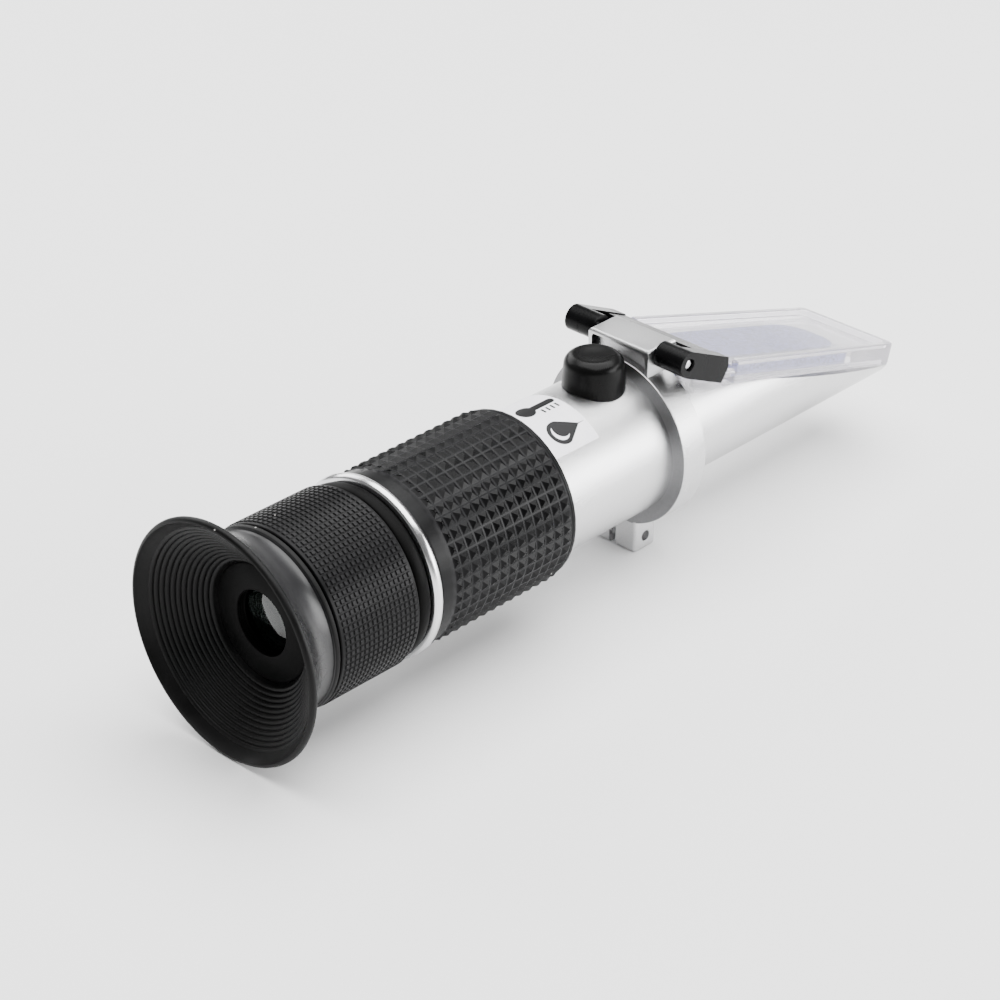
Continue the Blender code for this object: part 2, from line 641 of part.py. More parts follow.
def make_looks():
    """One plain material for each kind of surface."""
    return {
        "soft_black": material("soft_black", (0.02, 0.02, 0.022), 0.45),
        "moulded_black": material("moulded_black", (0.015, 0.015, 0.016), 0.3),
        "satin_metal": material("satin_metal", (0.78, 0.79, 0.8), 0.35, 1.0),
        "bright_metal": material("bright_metal", (0.85, 0.85, 0.86), 0.12, 1.0),
        "steel": material("steel", (0.6, 0.6, 0.62), 0.25, 1.0),
        "brass": material("brass", (0.72, 0.53, 0.25), 0.3, 1.0),
        "bimetal": material("bimetal", (0.62, 0.5, 0.36), 0.35, 1.0),
        "clear": material("clear", (0.93, 0.92, 0.97), 0.05, 0.0, 0.35),
        "frosted": material("frosted", (0.62, 0.65, 0.82), 0.6, 0.0, 0.8),
        "glass": material("glass", (0.9, 0.94, 0.95), 0.02, 0.0, 0.35),
        "label": material("label", (0.88, 0.88, 0.86), 0.4),
        "pale_seal": material("pale_seal", (0.8, 0.8, 0.79), 0.45),
        "nylon": material("nylon", (0.85, 0.83, 0.76), 0.5),
    }


def add_eyepiece(pivots, look):
    eyepiece = pivots["eyepiece"]
    add_eyecup(eyepiece, look["soft_black"])
    add_eyepiece_housing(eyepiece, look["moulded_black"])
    add_focus_sleeve(eyepiece, look["soft_black"])
    add_eyepiece_lenses(eyepiece, look["glass"], look["moulded_black"])
    add_focus_o_ring(pivots["focus_carrier"], look["soft_black"])


def add_tube_assembly(pivots, look):
    tube = pivots["tube"]
    add_body_tube(tube, look["satin_metal"])
    add_grip_retaining_ring(tube, look["bright_metal"])
    add_grip_sleeve(tube, look["soft_black"])
    add_reticle(tube, look["glass"], look["moulded_black"])
    add_stray_light_baffle(tube, look["moulded_black"])
    add_scale_label(tube, look["label"])
    add_strip_mount(tube, look["satin_metal"], look["steel"])
    add_strip_screw(tube, look["steel"])
    add_calibration_bush(tube, look["brass"])
    add_clamp_ring(tube, look["satin_metal"])
    add_clamp_screw(tube, look["steel"])
    add_hinge_pin(tube, look["steel"])
    add_prism_body(tube, look["satin_metal"])
    add_prism_set_screws(tube, look["steel"])
    add_front_o_ring(tube, look["soft_black"])
    add_main_prism(tube, look["glass"])
    add_prism_gasket(tube, look["pale_seal"])


def add_moving_inner_parts(pivots, look):
    add_bimetal_strip(pivots["objective"], look["bimetal"])
    add_objective(pivots["objective"], look["moulded_black"], look["glass"], look["steel"])
    add_calibration_screw(pivots["calibration_screw"], look["steel"])
    add_calibration_pusher(pivots["calibration_pusher"], look["nylon"])
    add_calibration_cap(pivots["cap"], look["soft_black"])


def add_cover(pivots, look):
    cover = pivots["cover"]
    add_hinge_frame(cover, look["moulded_black"])
    add_daylight_plate(cover, look["clear"])
    add_diffuser_window(cover, look["frosted"])


def main():
    clear_scene()
    look = make_looks()
    places = {
        "tube": (LENGTH / 2, 0, -AXIS_HEIGHT),
        "eyepiece": (BEAD_FRONT, 0, 0),
        "focus_carrier": (40.1, 0, 0),
        "objective": (STRIP_ROOT, 0, (STRIP_UNDER + STRIP_TOP) / 2),
        "calibration_screw": (CALIBRATION, 0, 16.4),
        "calibration_pusher": (CALIBRATION, 0, 8.9),
        "cap": (CALIBRATION, 0, TUBE_RADIUS),
        "cover": (PIN_STATION, 0, PIN_HEIGHT),
    }
    pivots = {name: pivot(f"{name}_pivot", point) for name, point in places.items()}
    bpy.context.view_layer.update()
    add_eyepiece(pivots, look)
    add_tube_assembly(pivots, look)
    add_moving_inner_parts(pivots, look)
    add_cover(pivots, look)


main()
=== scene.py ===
"""The looks of a handheld refractometer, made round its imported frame.

Stations run forward along the optical axis, in millimetres from the eyecup's rim, and heights are
millimetres above that axis. The eyecup's and the tube's boxes in the frame fix both.
"""

import math

import bmesh
import bpy
from mathutils import Matrix, Vector


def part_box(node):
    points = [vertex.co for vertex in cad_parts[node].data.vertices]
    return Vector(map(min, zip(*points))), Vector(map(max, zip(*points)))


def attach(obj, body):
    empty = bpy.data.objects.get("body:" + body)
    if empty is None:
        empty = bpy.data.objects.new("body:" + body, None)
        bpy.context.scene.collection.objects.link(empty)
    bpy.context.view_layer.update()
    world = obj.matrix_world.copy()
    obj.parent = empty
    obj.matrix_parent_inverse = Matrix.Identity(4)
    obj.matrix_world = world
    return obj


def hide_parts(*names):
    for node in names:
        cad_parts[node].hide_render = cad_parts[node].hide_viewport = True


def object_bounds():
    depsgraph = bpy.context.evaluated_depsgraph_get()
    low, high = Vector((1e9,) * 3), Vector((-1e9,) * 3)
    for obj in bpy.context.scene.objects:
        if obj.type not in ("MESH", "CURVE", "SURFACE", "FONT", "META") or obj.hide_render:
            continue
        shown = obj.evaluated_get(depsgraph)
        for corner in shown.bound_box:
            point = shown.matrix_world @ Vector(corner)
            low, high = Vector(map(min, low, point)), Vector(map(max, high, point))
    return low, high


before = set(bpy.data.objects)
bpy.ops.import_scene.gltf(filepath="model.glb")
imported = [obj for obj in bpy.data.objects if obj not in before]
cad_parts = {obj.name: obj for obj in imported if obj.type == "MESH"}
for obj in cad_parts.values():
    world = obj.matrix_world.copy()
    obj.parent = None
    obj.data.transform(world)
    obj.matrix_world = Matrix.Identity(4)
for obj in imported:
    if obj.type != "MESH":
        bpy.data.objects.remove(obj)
CAD_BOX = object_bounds()

MM = 0.001
RIM_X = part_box("eyecup")[0].x
TUBE_LOW, TUBE_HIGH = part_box("body_tube")
AXIS_Z = (TUBE_LOW.z + TUBE_HIGH.z) / 2
LENGTH = (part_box("prism_body")[1].x - RIM_X) / MM

# Facets in a full turn of a large, a middling and a small round piece.
LARGE, MIDDLING, SMALL = 144, 96, 48

# Half the width of a screw's slot.
HALF_SLOT = 0.28

# For each direction: the way a profile runs, the turn that faces a circle along it, and the
# directions in which its radius grows.
DIRECTIONS = {
    "X": (Vector((1, 0, 0)), (0, math.pi / 2, 0), Vector((0, 1, 1))),
    "Y": (Vector((0, 1, 0)), (-math.pi / 2, 0, 0), Vector((1, 0, 1))),
    "Z": (Vector((0, 0, 1)), (0, 0, 0), Vector((1, 1, 0))),
}


def spot(station, y=0.0, height=0.0):
    """The place in the frame of a station, a distance to the left and a height, in millimetres."""
    return Vector((RIM_X + station * MM, y * MM, AXIS_Z + height * MM))


def station_of(place):
    return (place.x - RIM_X) / MM


def height_of(place):
    return (place.z - AXIS_Z) / MM


# Modelling by hand: each of these does what a person does with the tools.


def deselect():
    """Goes back to object mode with nothing selected."""
    if bpy.context.object and bpy.context.object.mode != "OBJECT":
        bpy.ops.object.mode_set(mode="OBJECT")
    bpy.ops.object.select_all(action="DESELECT")


def hold(piece):
    """Makes a piece the only one selected."""
    deselect()
    piece.select_set(True)
    bpy.context.view_layer.objects.active = piece


def named_start(name):
    """Takes the primitive just added, names it and puts its place into its mesh."""
    piece = bpy.context.object
    piece.name = piece.data.name = name
    bpy.ops.object.transform_apply(location=True, rotation=True, scale=True)
    return piece


def choose(piece, kind, wanted):
    """In edit mode, selects the faces, edges or points that pass the test."""
    bpy.ops.mesh.select_mode(type={"faces": "FACE", "edges": "EDGE", "verts": "VERT"}[kind])
    bpy.ops.mesh.select_all(action="DESELECT")
    mesh = bmesh.from_edit_mesh(piece.data)
    for part in getattr(mesh, kind):
        part.select_set(wanted(part))
    bmesh.update_edit_mesh(piece.data)


def middle_of(part):
    """The middle of a face or an edge as station, y and height, in millimetres."""
    places = [vertex.co for vertex in part.verts]
    middle = sum(places, Vector()) / len(places)
    return station_of(middle), middle.y / MM, height_of(middle)


def radius_of(part):
    """How far the middle of a face or an edge is from the optical axis, in millimetres."""
    _, y, height = middle_of(part)
    return math.hypot(y, height)


def lathe(name, profile, facets=LARGE, along="X", at=(0, 0, 0)):
    """Turns a profile of (distance, radius) points, by extruding and scaling a circle along it.

    A profile that starts and ends at one radius is a ring's and is bridged shut. Otherwise its
    two ends are filled.
    """
    way, turn, spread = DIRECTIONS[along]
    closed_ring = profile[0] == profile[-1]
    stops = profile[:-1] if closed_ring else profile
    origin = spot(*at)
    distance, radius = stops[0]
    deselect()
    bpy.ops.mesh.primitive_circle_add(
        vertices=facets,
        radius=radius * MM,
        fill_type="NOTHING" if closed_ring else "NGON",
        location=origin + way * distance * MM,
        rotation=turn,
    )
    piece = named_start(name)
    bpy.ops.object.mode_set(mode="EDIT")
    choose(piece, "edges", lambda edge: True)
    for next_distance, next_radius in stops[1:]:
        step = way * (next_distance - distance) * MM
        bpy.ops.mesh.extrude_edges_move(TRANSFORM_OT_translate={"value": step})
        scale = next_radius / radius
        bpy.ops.transform.resize(
            value=[scale if grows else 1 for grows in spread],
            center_override=origin + way * next_distance * MM,
        )
        distance, radius = next_distance, next_radius
    if closed_ring:
        bpy.ops.mesh.select_all(action="DESELECT")
        bpy.ops.mesh.select_non_manifold()
        bpy.ops.mesh.bridge_edge_loops()
    else:
        bpy.ops.mesh.edge_face_add()
    bpy.ops.mesh.select_all(action="SELECT")
    bpy.ops.mesh.normals_make_consistent(inside=False)
    bpy.ops.object.mode_set(mode="OBJECT")
    return piece


def slab(name, low, high):
    """A box between two corners, each given as station, y and height."""
    deselect()
    low, high = spot(*low), spot(*high)
    bpy.ops.mesh.primitive_cube_add(size=1, location=(low + high) / 2, scale=high - low)
    return named_start(name)


def rounded(piece, kind_of_edge, width, segments=3):
    """Bevels the chosen edges in edit mode. The width is in millimetres."""
    hold(piece)
    bpy.ops.object.mode_set(mode="EDIT")
    choose(piece, "edges", kind_of_edge)
    bpy.ops.mesh.bevel(offset=width * MM, segments=segments, profile=0.5, clamp_overlap=True)
    bpy.ops.object.mode_set(mode="OBJECT")
    return piece


def apply_modifier(piece, kind, **settings):
    """Adds a modifier with these settings and applies it at once."""
    hold(piece)
    modifier = piece.modifiers.new(kind.title(), kind)
    for setting, value in settings.items():
        setattr(modifier, setting, value)
    bpy.ops.object.modifier_apply(modifier=modifier.name)


def soften(piece, width, segments=2, angle=35):
    """Rounds every edge sharper than the angle, by a width in millimetres."""
    apply_modifier(
        piece,
        "BEVEL",
        width=width * MM,
        segments=segments,
        limit_method="ANGLE",
        angle_limit=math.radians(angle),
        use_clamp_overlap=True,
    )


def combine(piece, tool, operation):
    """Joins the tool to the piece, or cuts it away, and throws the tool away."""
    apply_modifier(piece, "BOOLEAN", object=tool, operation=operation, solver="EXACT")
    bpy.data.objects.remove(tool, do_unlink=True)
    return piece


def cut(piece, tool):
    return combine(piece, tool, "DIFFERENCE")


def join(piece, tool):
    return combine(piece, tool, "UNION")


def slice_off(piece, point, normal):
    """Cuts the piece with a plane and throws away what lies on the normal's side."""
    hold(piece)
    bpy.ops.object.mode_set(mode="EDIT")
    bpy.ops.mesh.select_all(action="SELECT")
    bpy.ops.mesh.bisect(plane_co=point, plane_no=normal, use_fill=True, clear_outer=True)
    bpy.ops.object.mode_set(mode="OBJECT")
    return piece


def turned(piece, angle, axis, about):
    """Turns a whole piece in edit mode, right-handed about an axis through a point."""
    hold(piece)
    bpy.ops.object.mode_set(mode="EDIT")
    bpy.ops.mesh.select_all(action="SELECT")
    bpy.ops.transform.rotate(value=-angle, orient_axis=axis, center_override=about)
    bpy.ops.object.mode_set(mode="OBJECT")
    return piece


def tidy_faces(piece, dissolve=True):
    """Merges points that a Boolean left on top of each other and dissolves needless edges.

    A piece with a nearly flat round face keeps its edges, because they dissolve by chance.
    """
    hold(piece)
    bpy.ops.object.mode_set(mode="EDIT")
    bpy.ops.mesh.select_all(action="SELECT")
    bpy.ops.mesh.remove_doubles(threshold=0.002 * MM)
    if dissolve:
        bpy.ops.mesh.dissolve_limited(angle_limit=math.radians(0.5))
    bpy.ops.mesh.normals_make_consistent(inside=False)
    bpy.ops.object.mode_set(mode="OBJECT")


def arc(centre, radius, start, end, steps):
    """Points on an arc of a profile, from one angle in degrees to another."""
    angles = [math.radians(start + (end - start) * i / steps) for i in range(steps + 1)]
    return [(centre[0] + radius * math.cos(a), centre[1] + radius * math.sin(a)) for a in angles]


def finished(piece, looks, body, slot, *nodes, smooth=35, flat=False):
    """Shades a piece, gives it its material, and says which body and CAD nodes it stands for.

    Flat keeps the shading of large faces flat beside their rounded edges.
    """
    hold(piece)
    bpy.ops.object.shade_smooth_by_angle(angle=math.radians(smooth))
    if flat:
        apply_modifier(piece, "WEIGHTED_NORMAL", keep_sharp=True, weight=100)
    piece.data.materials.clear()
    piece.data.materials.append(looks)
    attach(piece, body)
    if nodes:
        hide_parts(*nodes)
    return piece


def paint(piece, looks, wanted):
    """Gives the faces that pass the test a second material."""
    hold(piece)
    piece.data.materials.append(looks)
    piece.active_material_index = len(piece.data.materials) - 1
    bpy.ops.object.mode_set(mode="EDIT")
    choose(piece, "faces", wanted)
    bpy.ops.object.material_slot_assign()
    bpy.ops.object.mode_set(mode="OBJECT")


# Shader effects that more than one material uses.


def new_group(name, inputs, outputs):
    """An empty node group with named number inputs, each with its usual value, and outputs."""
    group = bpy.data.node_groups.new(name, "ShaderNodeTree")
    for socket, value in inputs.items():
        made = group.interface.new_socket(socket, in_out="INPUT", socket_type="NodeSocketFloat")
        made.default_value = value
    for socket in outputs:
        group.interface.new_socket(socket, in_out="OUTPUT", socket_type="NodeSocketFloat")
    return group, group.nodes.new("NodeGroupInput"), group.nodes.new("NodeGroupOutput")


def add_node(tree, kind, links=None, **values):
    """Adds a shader node, sets its properties or sockets by name, and links its inputs."""
    node = tree.nodes.new(kind)
    for name, value in values.items():
        if hasattr(node, name):
            setattr(node, name, value)
        else:
            node.inputs[name.replace("_", " ")].default_value = value
    for name, source in (links or {}).items():
        tree.links.new(source, node.inputs[name])
    return node


def ramp(tree, source, low, high, start=0.0, end=1.0):
    """Spreads the part of a value between low and high over start to end."""
    node = add_node(tree, "ShaderNodeMapRange", {"Value": source})
    node.inputs["From Min"].default_value = low
    node.inputs["From Max"].default_value = high
    node.inputs["To Min"].default_value = start
    node.inputs["To Max"].default_value = end
    return node.outputs["Result"]


def maths(tree, operation, first, second):
    """One sum on two values, each a number or another node's output."""
    node = tree.nodes.new("ShaderNodeMath")
    node.operation = operation
    for socket, value in zip(node.inputs, (first, second)):
        if isinstance(value, (int, float)):
            socket.default_value = value
        else:
            tree.links.new(value, socket)
    return node.outputs[0]


def make_grain_group():
    """A fine random relief: moulded texture, blasting or casting, by its scale."""
    group, given, out = new_group("surface_grain", {"Scale": 4000.0, "Roughness": 0.6}, ["Height"])
    where = add_node(group, "ShaderNodeTexCoord").outputs["Object"]
    links = {"Vector": where, "Scale": given.outputs["Scale"]}
    links["Roughness"] = given.outputs["Roughness"]
    noise = add_node(group, "ShaderNodeTexNoise", links, Detail=3.0)
    group.links.new(noise.outputs["Fac"], out.inputs["Height"])
    return group


def make_smudge_group():
    """Broad soft patches where hands and dust have dulled or polished the surface."""
    group, given, out = new_group("smudges", {"Scale": 90.0, "Contrast": 1.0}, ["Patches"])
    where = add_node(group, "ShaderNodeTexCoord").outputs["Object"]
    links = {"Vector": where, "Scale": given.outputs["Scale"]}
    noise = add_node(group, "ShaderNodeTexNoise", links, Detail=5.0, Distortion=0.6)
    spread = ramp(group, noise.outputs["Fac"], 0.35, 0.65)
    strength = maths(group, "MULTIPLY", spread, given.outputs["Contrast"])
    group.links.new(strength, out.inputs["Patches"])
    return group


def make_speck_group():
    """Sparse specks of dust, each a little different in size."""
    group, given, out = new_group("dust_specks", {"Scale": 700.0, "Amount": 0.1}, ["Specks"])
    where = add_node(group, "ShaderNodeTexCoord").outputs["Object"]
    links = {"Vector": where, "Scale": given.outputs["Scale"]}
    cells = add_node(group, "ShaderNodeTexVoronoi", links)
    split = add_node(group, "ShaderNodeSeparateColor", {"Color": cells.outputs["Color"]})
    chosen = maths(group, "LESS_THAN", split.outputs["Red"], given.outputs["Amount"])
    size = ramp(group, split.outputs["Green"], 0, 1, 0.05, 0.16)
    near = maths(group, "LESS_THAN", cells.outputs["Distance"], size)
    group.links.new(maths(group, "MULTIPLY", chosen, near), out.inputs["Specks"])
    return group


def make_turning_group():
    """The fine rings that a lathe tool leaves round the optical axis."""
    group, given, out = new_group("turning_rings", {"Scale": 900.0}, ["Height"])
    where = add_node(group, "ShaderNodeTexCoord").outputs["Object"]
    links = {"Vector": where, "Scale": given.outputs["Scale"]}
    wave = add_node(group, "ShaderNodeTexWave", links, bands_direction="X", Distortion=1.5)
    group.links.new(wave.outputs["Fac"], out.inputs["Height"])
    return group


def make_crest_group():
    """Goes from 0 to 1 as a point's distance from the optical axis goes from Low to High."""
    group, given, out = new_group("lighter_by_radius", {"Low": 0.0155, "High": 0.016}, ["Crests"])
    where = add_node(group, "ShaderNodeTexCoord").outputs["Object"]
    parts = add_node(group, "ShaderNodeSeparateXYZ", {"Vector": where})
    height = maths(group, "SUBTRACT", parts.outputs["Z"], AXIS_Z)
    across = maths(group, "MULTIPLY", parts.outputs["Y"], parts.outputs["Y"])
    total = maths(group, "ADD", maths(group, "MULTIPLY", height, height), across)
    spread = add_node(group, "ShaderNodeMapRange", {"Value": maths(group, "SQRT", total, 0.0)})
    group.links.new(given.outputs["Low"], spread.inputs["From Min"])
    group.links.new(given.outputs["High"], spread.inputs["From Max"])
    group.links.new(spread.outputs["Result"], out.inputs["Crests"])
    return group


GRAIN = make_grain_group()
SMUDGES = make_smudge_group()
SPECKS = make_speck_group()
TURNING = make_turning_group()
CRESTS = make_crest_group()


def effect(tree, group, **values):
    """Places an effect group in a material with its own values and returns its one output."""
    node = tree.nodes.new("ShaderNodeGroup")
    node.node_tree = group
    for name, value in values.items():
        node.inputs[name].default_value = value
    return node.outputs[0]


def new_material(name, colour, roughness, metallic=0.0, **sockets):
    """A material with one Principled BSDF. Sockets are set by name, with _ for a space."""
    made = bpy.data.materials.new(name)
    made.use_nodes = True
    tree = made.node_tree
    shader = tree.nodes["Principled BSDF"]
    shader.inputs["Base Color"].default_value = (*colour, 1)
    shader.inputs["Roughness"].default_value = roughness
    shader.inputs["Metallic"].default_value = metallic
    for socket, value in sockets.items():
        shader.inputs[socket.replace("_", " ")].default_value = value
    return made, tree, shader


def blended(tree, mask, first, second):
    """Goes from the first colour to the second as the mask goes from 0 to 1."""
    mix = tree.nodes.new("ShaderNodeMix")
    mix.data_type = "RGBA"
    tree.links.new(mask, mix.inputs["Factor"])
    for socket, colour in (("A", first), ("B", second)):
        if isinstance(colour, tuple):
            mix.inputs[socket].default_value = (*colour, 1)
        else:
            tree.links.new(colour, mix.inputs[socket])
    return mix.outputs["Result"]


def relief(tree, shader, height, depth, strength=1.0):
    """Drives the shader's normal with a height, whose full range is a depth in millimetres."""
    links = {"Height": height}
    bump = add_node(tree, "ShaderNodeBump", links, Strength=strength, Distance=depth * MM)
    tree.links.new(bump.outputs["Normal"], shader.inputs["Normal"])


DUST = (0.35, 0.34, 0.33)
GLOSS_DRIFT = 0.06


def dusty_black(name, colour, roughness, grain, depth, dust, sheen=0.14, crests=None):
    """Black rubber or plastic: fine grain, patches that change the gloss, and specks of dust.

    Crests gives two distances from the optical axis, in millimetres: where a lighter tone starts
    and where it is full. The tone gathers in the valleys if the second is the smaller one.
    """
    made, tree, shader = new_material(name, colour, roughness, Specular_IOR_Level=sheen)
    specks = effect(tree, SPECKS, Scale=650.0, Amount=dust)
    patches = effect(tree, SMUDGES, Scale=110.0)
    greyer = tuple(channel * 1.7 + 0.001 for channel in colour)
    base = blended(tree, patches, colour, greyer)
    if crests:
        # On the grip this lighter tone sits in the valleys and is a painted highlight of the bright
        # lines the top light leaves there.
        lighter_tone = effect(tree, CRESTS, Low=crests[0] * MM, High=crests[1] * MM)
        base = blended(tree, lighter_tone, base, tuple(channel * 3 + 0.003 for channel in colour))
    tree.links.new(blended(tree, specks, base, DUST), shader.inputs["Base Color"])
    gloss = ramp(tree, patches, 0, 1, roughness - GLOSS_DRIFT, roughness + GLOSS_DRIFT)
    tree.links.new(gloss, shader.inputs["Roughness"])
    relief(tree, shader, effect(tree, GRAIN, Scale=grain), depth)
    return made


def blasted_metal(name, colour, roughness, grain, depth):
    """Metal with a fine blasted or cast skin, whose gloss drifts a little."""
    made, tree, shader = new_material(name, colour, roughness, 1.0)
    skin = effect(tree, GRAIN, Scale=grain, Roughness=0.75)
    patches = effect(tree, SMUDGES, Scale=70.0)
    darker = tuple(channel * 0.86 for channel in colour)
    tone = ramp(tree, skin, 0.3, 0.7)
    tree.links.new(blended(tree, tone, darker, colour), shader.inputs["Base Color"])
    gloss = ramp(tree, patches, 0, 1, roughness - GLOSS_DRIFT, roughness + GLOSS_DRIFT)
    tree.links.new(gloss, shader.inputs["Roughness"])
    relief(tree, shader, skin, depth)
    return made


def turned_metal(name, colour, roughness, rings, depth):
    """Metal with the rings of the lathe tool, brighter on their crests."""
    made, tree, shader = new_material(name, colour, roughness, 1.0)
    height = effect(tree, TURNING, Scale=rings)
    patches = effect(tree, SMUDGES, Scale=160.0)
    darker = tuple(channel * 0.8 for channel in colour)
    tree.links.new(blended(tree, height, darker, colour), shader.inputs["Base Color"])
    gloss = ramp(tree, patches, 0, 1, roughness * 0.7, roughness * 1.3)
    tree.links.new(gloss, shader.inputs["Roughness"])
    relief(tree, shader, height, depth)
    return made


def clear_moulding():
    """The cover's clear plastic, faintly violet, with a slight swirl and dull patches."""
    made, tree, shader = new_material(
        "clear_moulding", (0.95, 0.93, 0.975), 0.03, 0.0, IOR=1.45, Transmission_Weight=0.8
    )
    patches = effect(tree, SMUDGES, Scale=220.0)
    tree.links.new(ramp(tree, patches, 0, 1, 0.015, 0.06), shader.inputs["Roughness"])
    tint = blended(tree, patches, (0.93, 0.91, 0.965), (0.97, 0.955, 0.985))
    tree.links.new(tint, shader.inputs["Base Color"])
    relief(tree, shader, effect(tree, GRAIN, Scale=350.0), 0.004, 0.3)
    return made


def frosted_moulding():
    """The window's etched face: pale blue-violet, with a fine sparkle."""
    made, tree, shader = new_material("frosted_moulding", (0.5, 0.54, 0.72), 0.4)
    skin = effect(tree, GRAIN, Scale=1700.0, Roughness=0.8)
    tone = ramp(tree, skin, 0.38, 0.62)
    colour = blended(tree, tone, (0.012, 0.015, 0.15), (0.32, 0.35, 0.74))
    tree.links.new(colour, shader.inputs["Base Color"])
    relief(tree, shader, skin, 0.04)
    return made


def optical_glass(name, tint, clearness):
    """Polished glass with a trace of haze. Clearness is the share of light that it lets through."""
    made, tree, shader = new_material(name, tint, 0.0, IOR=1.52, Transmission_Weight=clearness)
    hazy = tuple(channel * 0.94 for channel in tint)
    haze = blended(tree, effect(tree, SMUDGES, Scale=260.0), tint, hazy)
    tree.links.new(haze, shader.inputs["Base Color"])
    return made


def pale_moulding(name, colour, roughness):
    """Pale silicone or nylon, a little darker in patches."""
    made, tree, shader = new_material(name, colour, roughness)
    darker = tuple(channel * 0.88 for channel in colour)
    patches = effect(tree, SMUDGES, Scale=300.0)
    tree.links.new(blended(tree, patches, darker, colour), shader.inputs["Base Color"])
    relief(tree, shader, effect(tree, GRAIN, Scale=3500.0), 0.01)
    return made


def sticker_vinyl():
    """White vinyl with a faint violet cast and a slight orange-peel skin."""
    made, tree, shader = new_material("sticker_vinyl", (0.9, 0.89, 0.93), 0.42)
    patches = effect(tree, SMUDGES, Scale=240.0)
    colour = blended(tree, patches, (0.87, 0.86, 0.91), (0.93, 0.92, 0.95))
    tree.links.new(colour, shader.inputs["Base Color"])
    relief(tree, shader, effect(tree, GRAIN, Scale=1800.0), 0.006)
    return made


def bonded_strip():
    """Rolled strip of two metals, with its rolling marks along it."""
    made, tree, shader = new_material("bonded_strip", (0.62, 0.5, 0.36), 0.32, 1.0)
    where = add_node(tree, "ShaderNodeTexCoord").outputs["Object"]
    stretch = add_node(tree, "ShaderNodeMapping", {"Vector": where})
    stretch.inputs["Scale"].default_value = (30, 4000, 4000)
    rolled = add_node(tree, "ShaderNodeTexNoise", {"Vector": stretch.outputs["Vector"]}, Scale=1.0)
    tone = rolled.outputs["Fac"]
    colour = blended(tree, tone, (0.5, 0.4, 0.29), (0.7, 0.58, 0.43))
    tree.links.new(colour, shader.inputs["Base Color"])
    relief(tree, shader, tone, 0.004)
    return made


def make_looks():
    """Every finish by a short name.

    The black ones give colour, roughness, grain, depth of relief, dust, sheen and crests, and the
    metals give colour, roughness, grain or rings, and depth of relief.
    """
    black = dusty_black
    return {
        # The grip's lighter tone in its valleys is a painted highlight.
        "grip": black(
            "grip_rubber", (0.0016, 0.0016, 0.0018), 0.33, 5200, 0.016, 0.01, 0.1, (15.62, 15.57)
        ),
        "sleeve": black(
            "sleeve_rubber", (0.0022, 0.0022, 0.0024), 0.36, 5200, 0.012, 0.006, 0.09, (16.1, 16.22)
        ),
        "eyecup": black("eyecup_rubber", (0.0024, 0.0024, 0.0024), 0.45, 3800, 0.008, 0.004, 0.12),
        # The flare's rubber is a lighter copy of the cup's: its extra gloss is real, its lighter
        # colour is painted light.
        "flare": black("flare_rubber_painted_light", (0.006, 0.006, 0.0065), 0.32, 3800, 0.001, 0.003, 0.4),
        "cap": black("cap_rubber", (0.002, 0.002, 0.002), 0.32, 3000, 0.008, 0.03, 0.1),
        "barrel": black("barrel_black", (0.0016, 0.0016, 0.0016), 0.46, 4200, 0.008, 0.004, 0.04),
        "hinge": black("hinge_black", (0.002, 0.002, 0.0022), 0.26, 4800, 0.012, 0.004, 0.08),
        "seal": black("seal_rubber", (0.01, 0.01, 0.01), 0.5, 4000, 0.01, 0.0),
        "inner": black("inner_black", (0.006, 0.006, 0.006), 0.6, 4500, 0.01, 0.0),
        "ink": black("label_ink", (0.008, 0.008, 0.0085), 0.4, 3000, 0.003, 0.0),
        "tube": blasted_metal("blasted_aluminium", (0.66, 0.66, 0.665), 0.2, 3200, 0.07),
        "cast": blasted_metal("cast_metal", (0.6, 0.6, 0.605), 0.3, 3000, 0.06),
        # The hollow's near-black copy of the casting is painted shade.
        "hollow_shade": blasted_metal("hollow_painted_shade", (0.05, 0.05, 0.052), 0.6, 2600, 0.05),
        # The band's rear face is a darker copy of the casting: painted shade.
        "shaded_rear_face": blasted_metal("rear_face_painted_shade", (0.26, 0.26, 0.265), 0.4, 2600, 0.03),
        "bright": turned_metal("bright_ring", (0.8, 0.8, 0.81), 0.2, 1400, 0.006),
        "steel": turned_metal("turned_steel", (0.66, 0.66, 0.68), 0.25, 1500, 0.004),
        "brass": turned_metal("turned_brass", (0.72, 0.53, 0.25), 0.28, 1200, 0.004),
        "strip": bonded_strip(),
        "clear": clear_moulding(),
        "frosted": frosted_moulding(),
        "glass": optical_glass("lens_glass", (0.93, 0.97, 0.96), 1.0),
        # The eye lens's dark tint is painted shade of the dark barrel behind it.
        "shaded_eye_glass": optical_glass("eye_lens_painted_shade", (0.13, 0.16, 0.15), 1.0),
        "prism": optical_glass("prism_glass", (0.8, 0.85, 0.97), 0.55),
        "label": sticker_vinyl(),
        "pale_seal": pale_moulding("pale_silicone", (0.8, 0.8, 0.79), 0.45),
        "nylon": pale_moulding("natural_nylon", (0.72, 0.69, 0.6), 0.5),
    }


LOOK = make_looks()


# The eyepiece.

NOSE = 8.9
CUP_REAR = 11.1
RIM_RADIUS = height_of(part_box("eyecup")[1])
RIM_EDGE = 0.75
FLARE_FROM, FLARE_TO = 1.5, 9.7
WAIST = 15.5
MOUTH = (1.8, 19.2)
RIDGES = 12
# Along one ridge inside the cup: the share of its length, and how far it swells there.
RIDGE_SHAPE = ((0.0, 0.0), (0.12, 0.12), (0.4, 0.21), (0.7, 0.2), (0.9, 0.08))
EYE_HOLE = 5.7


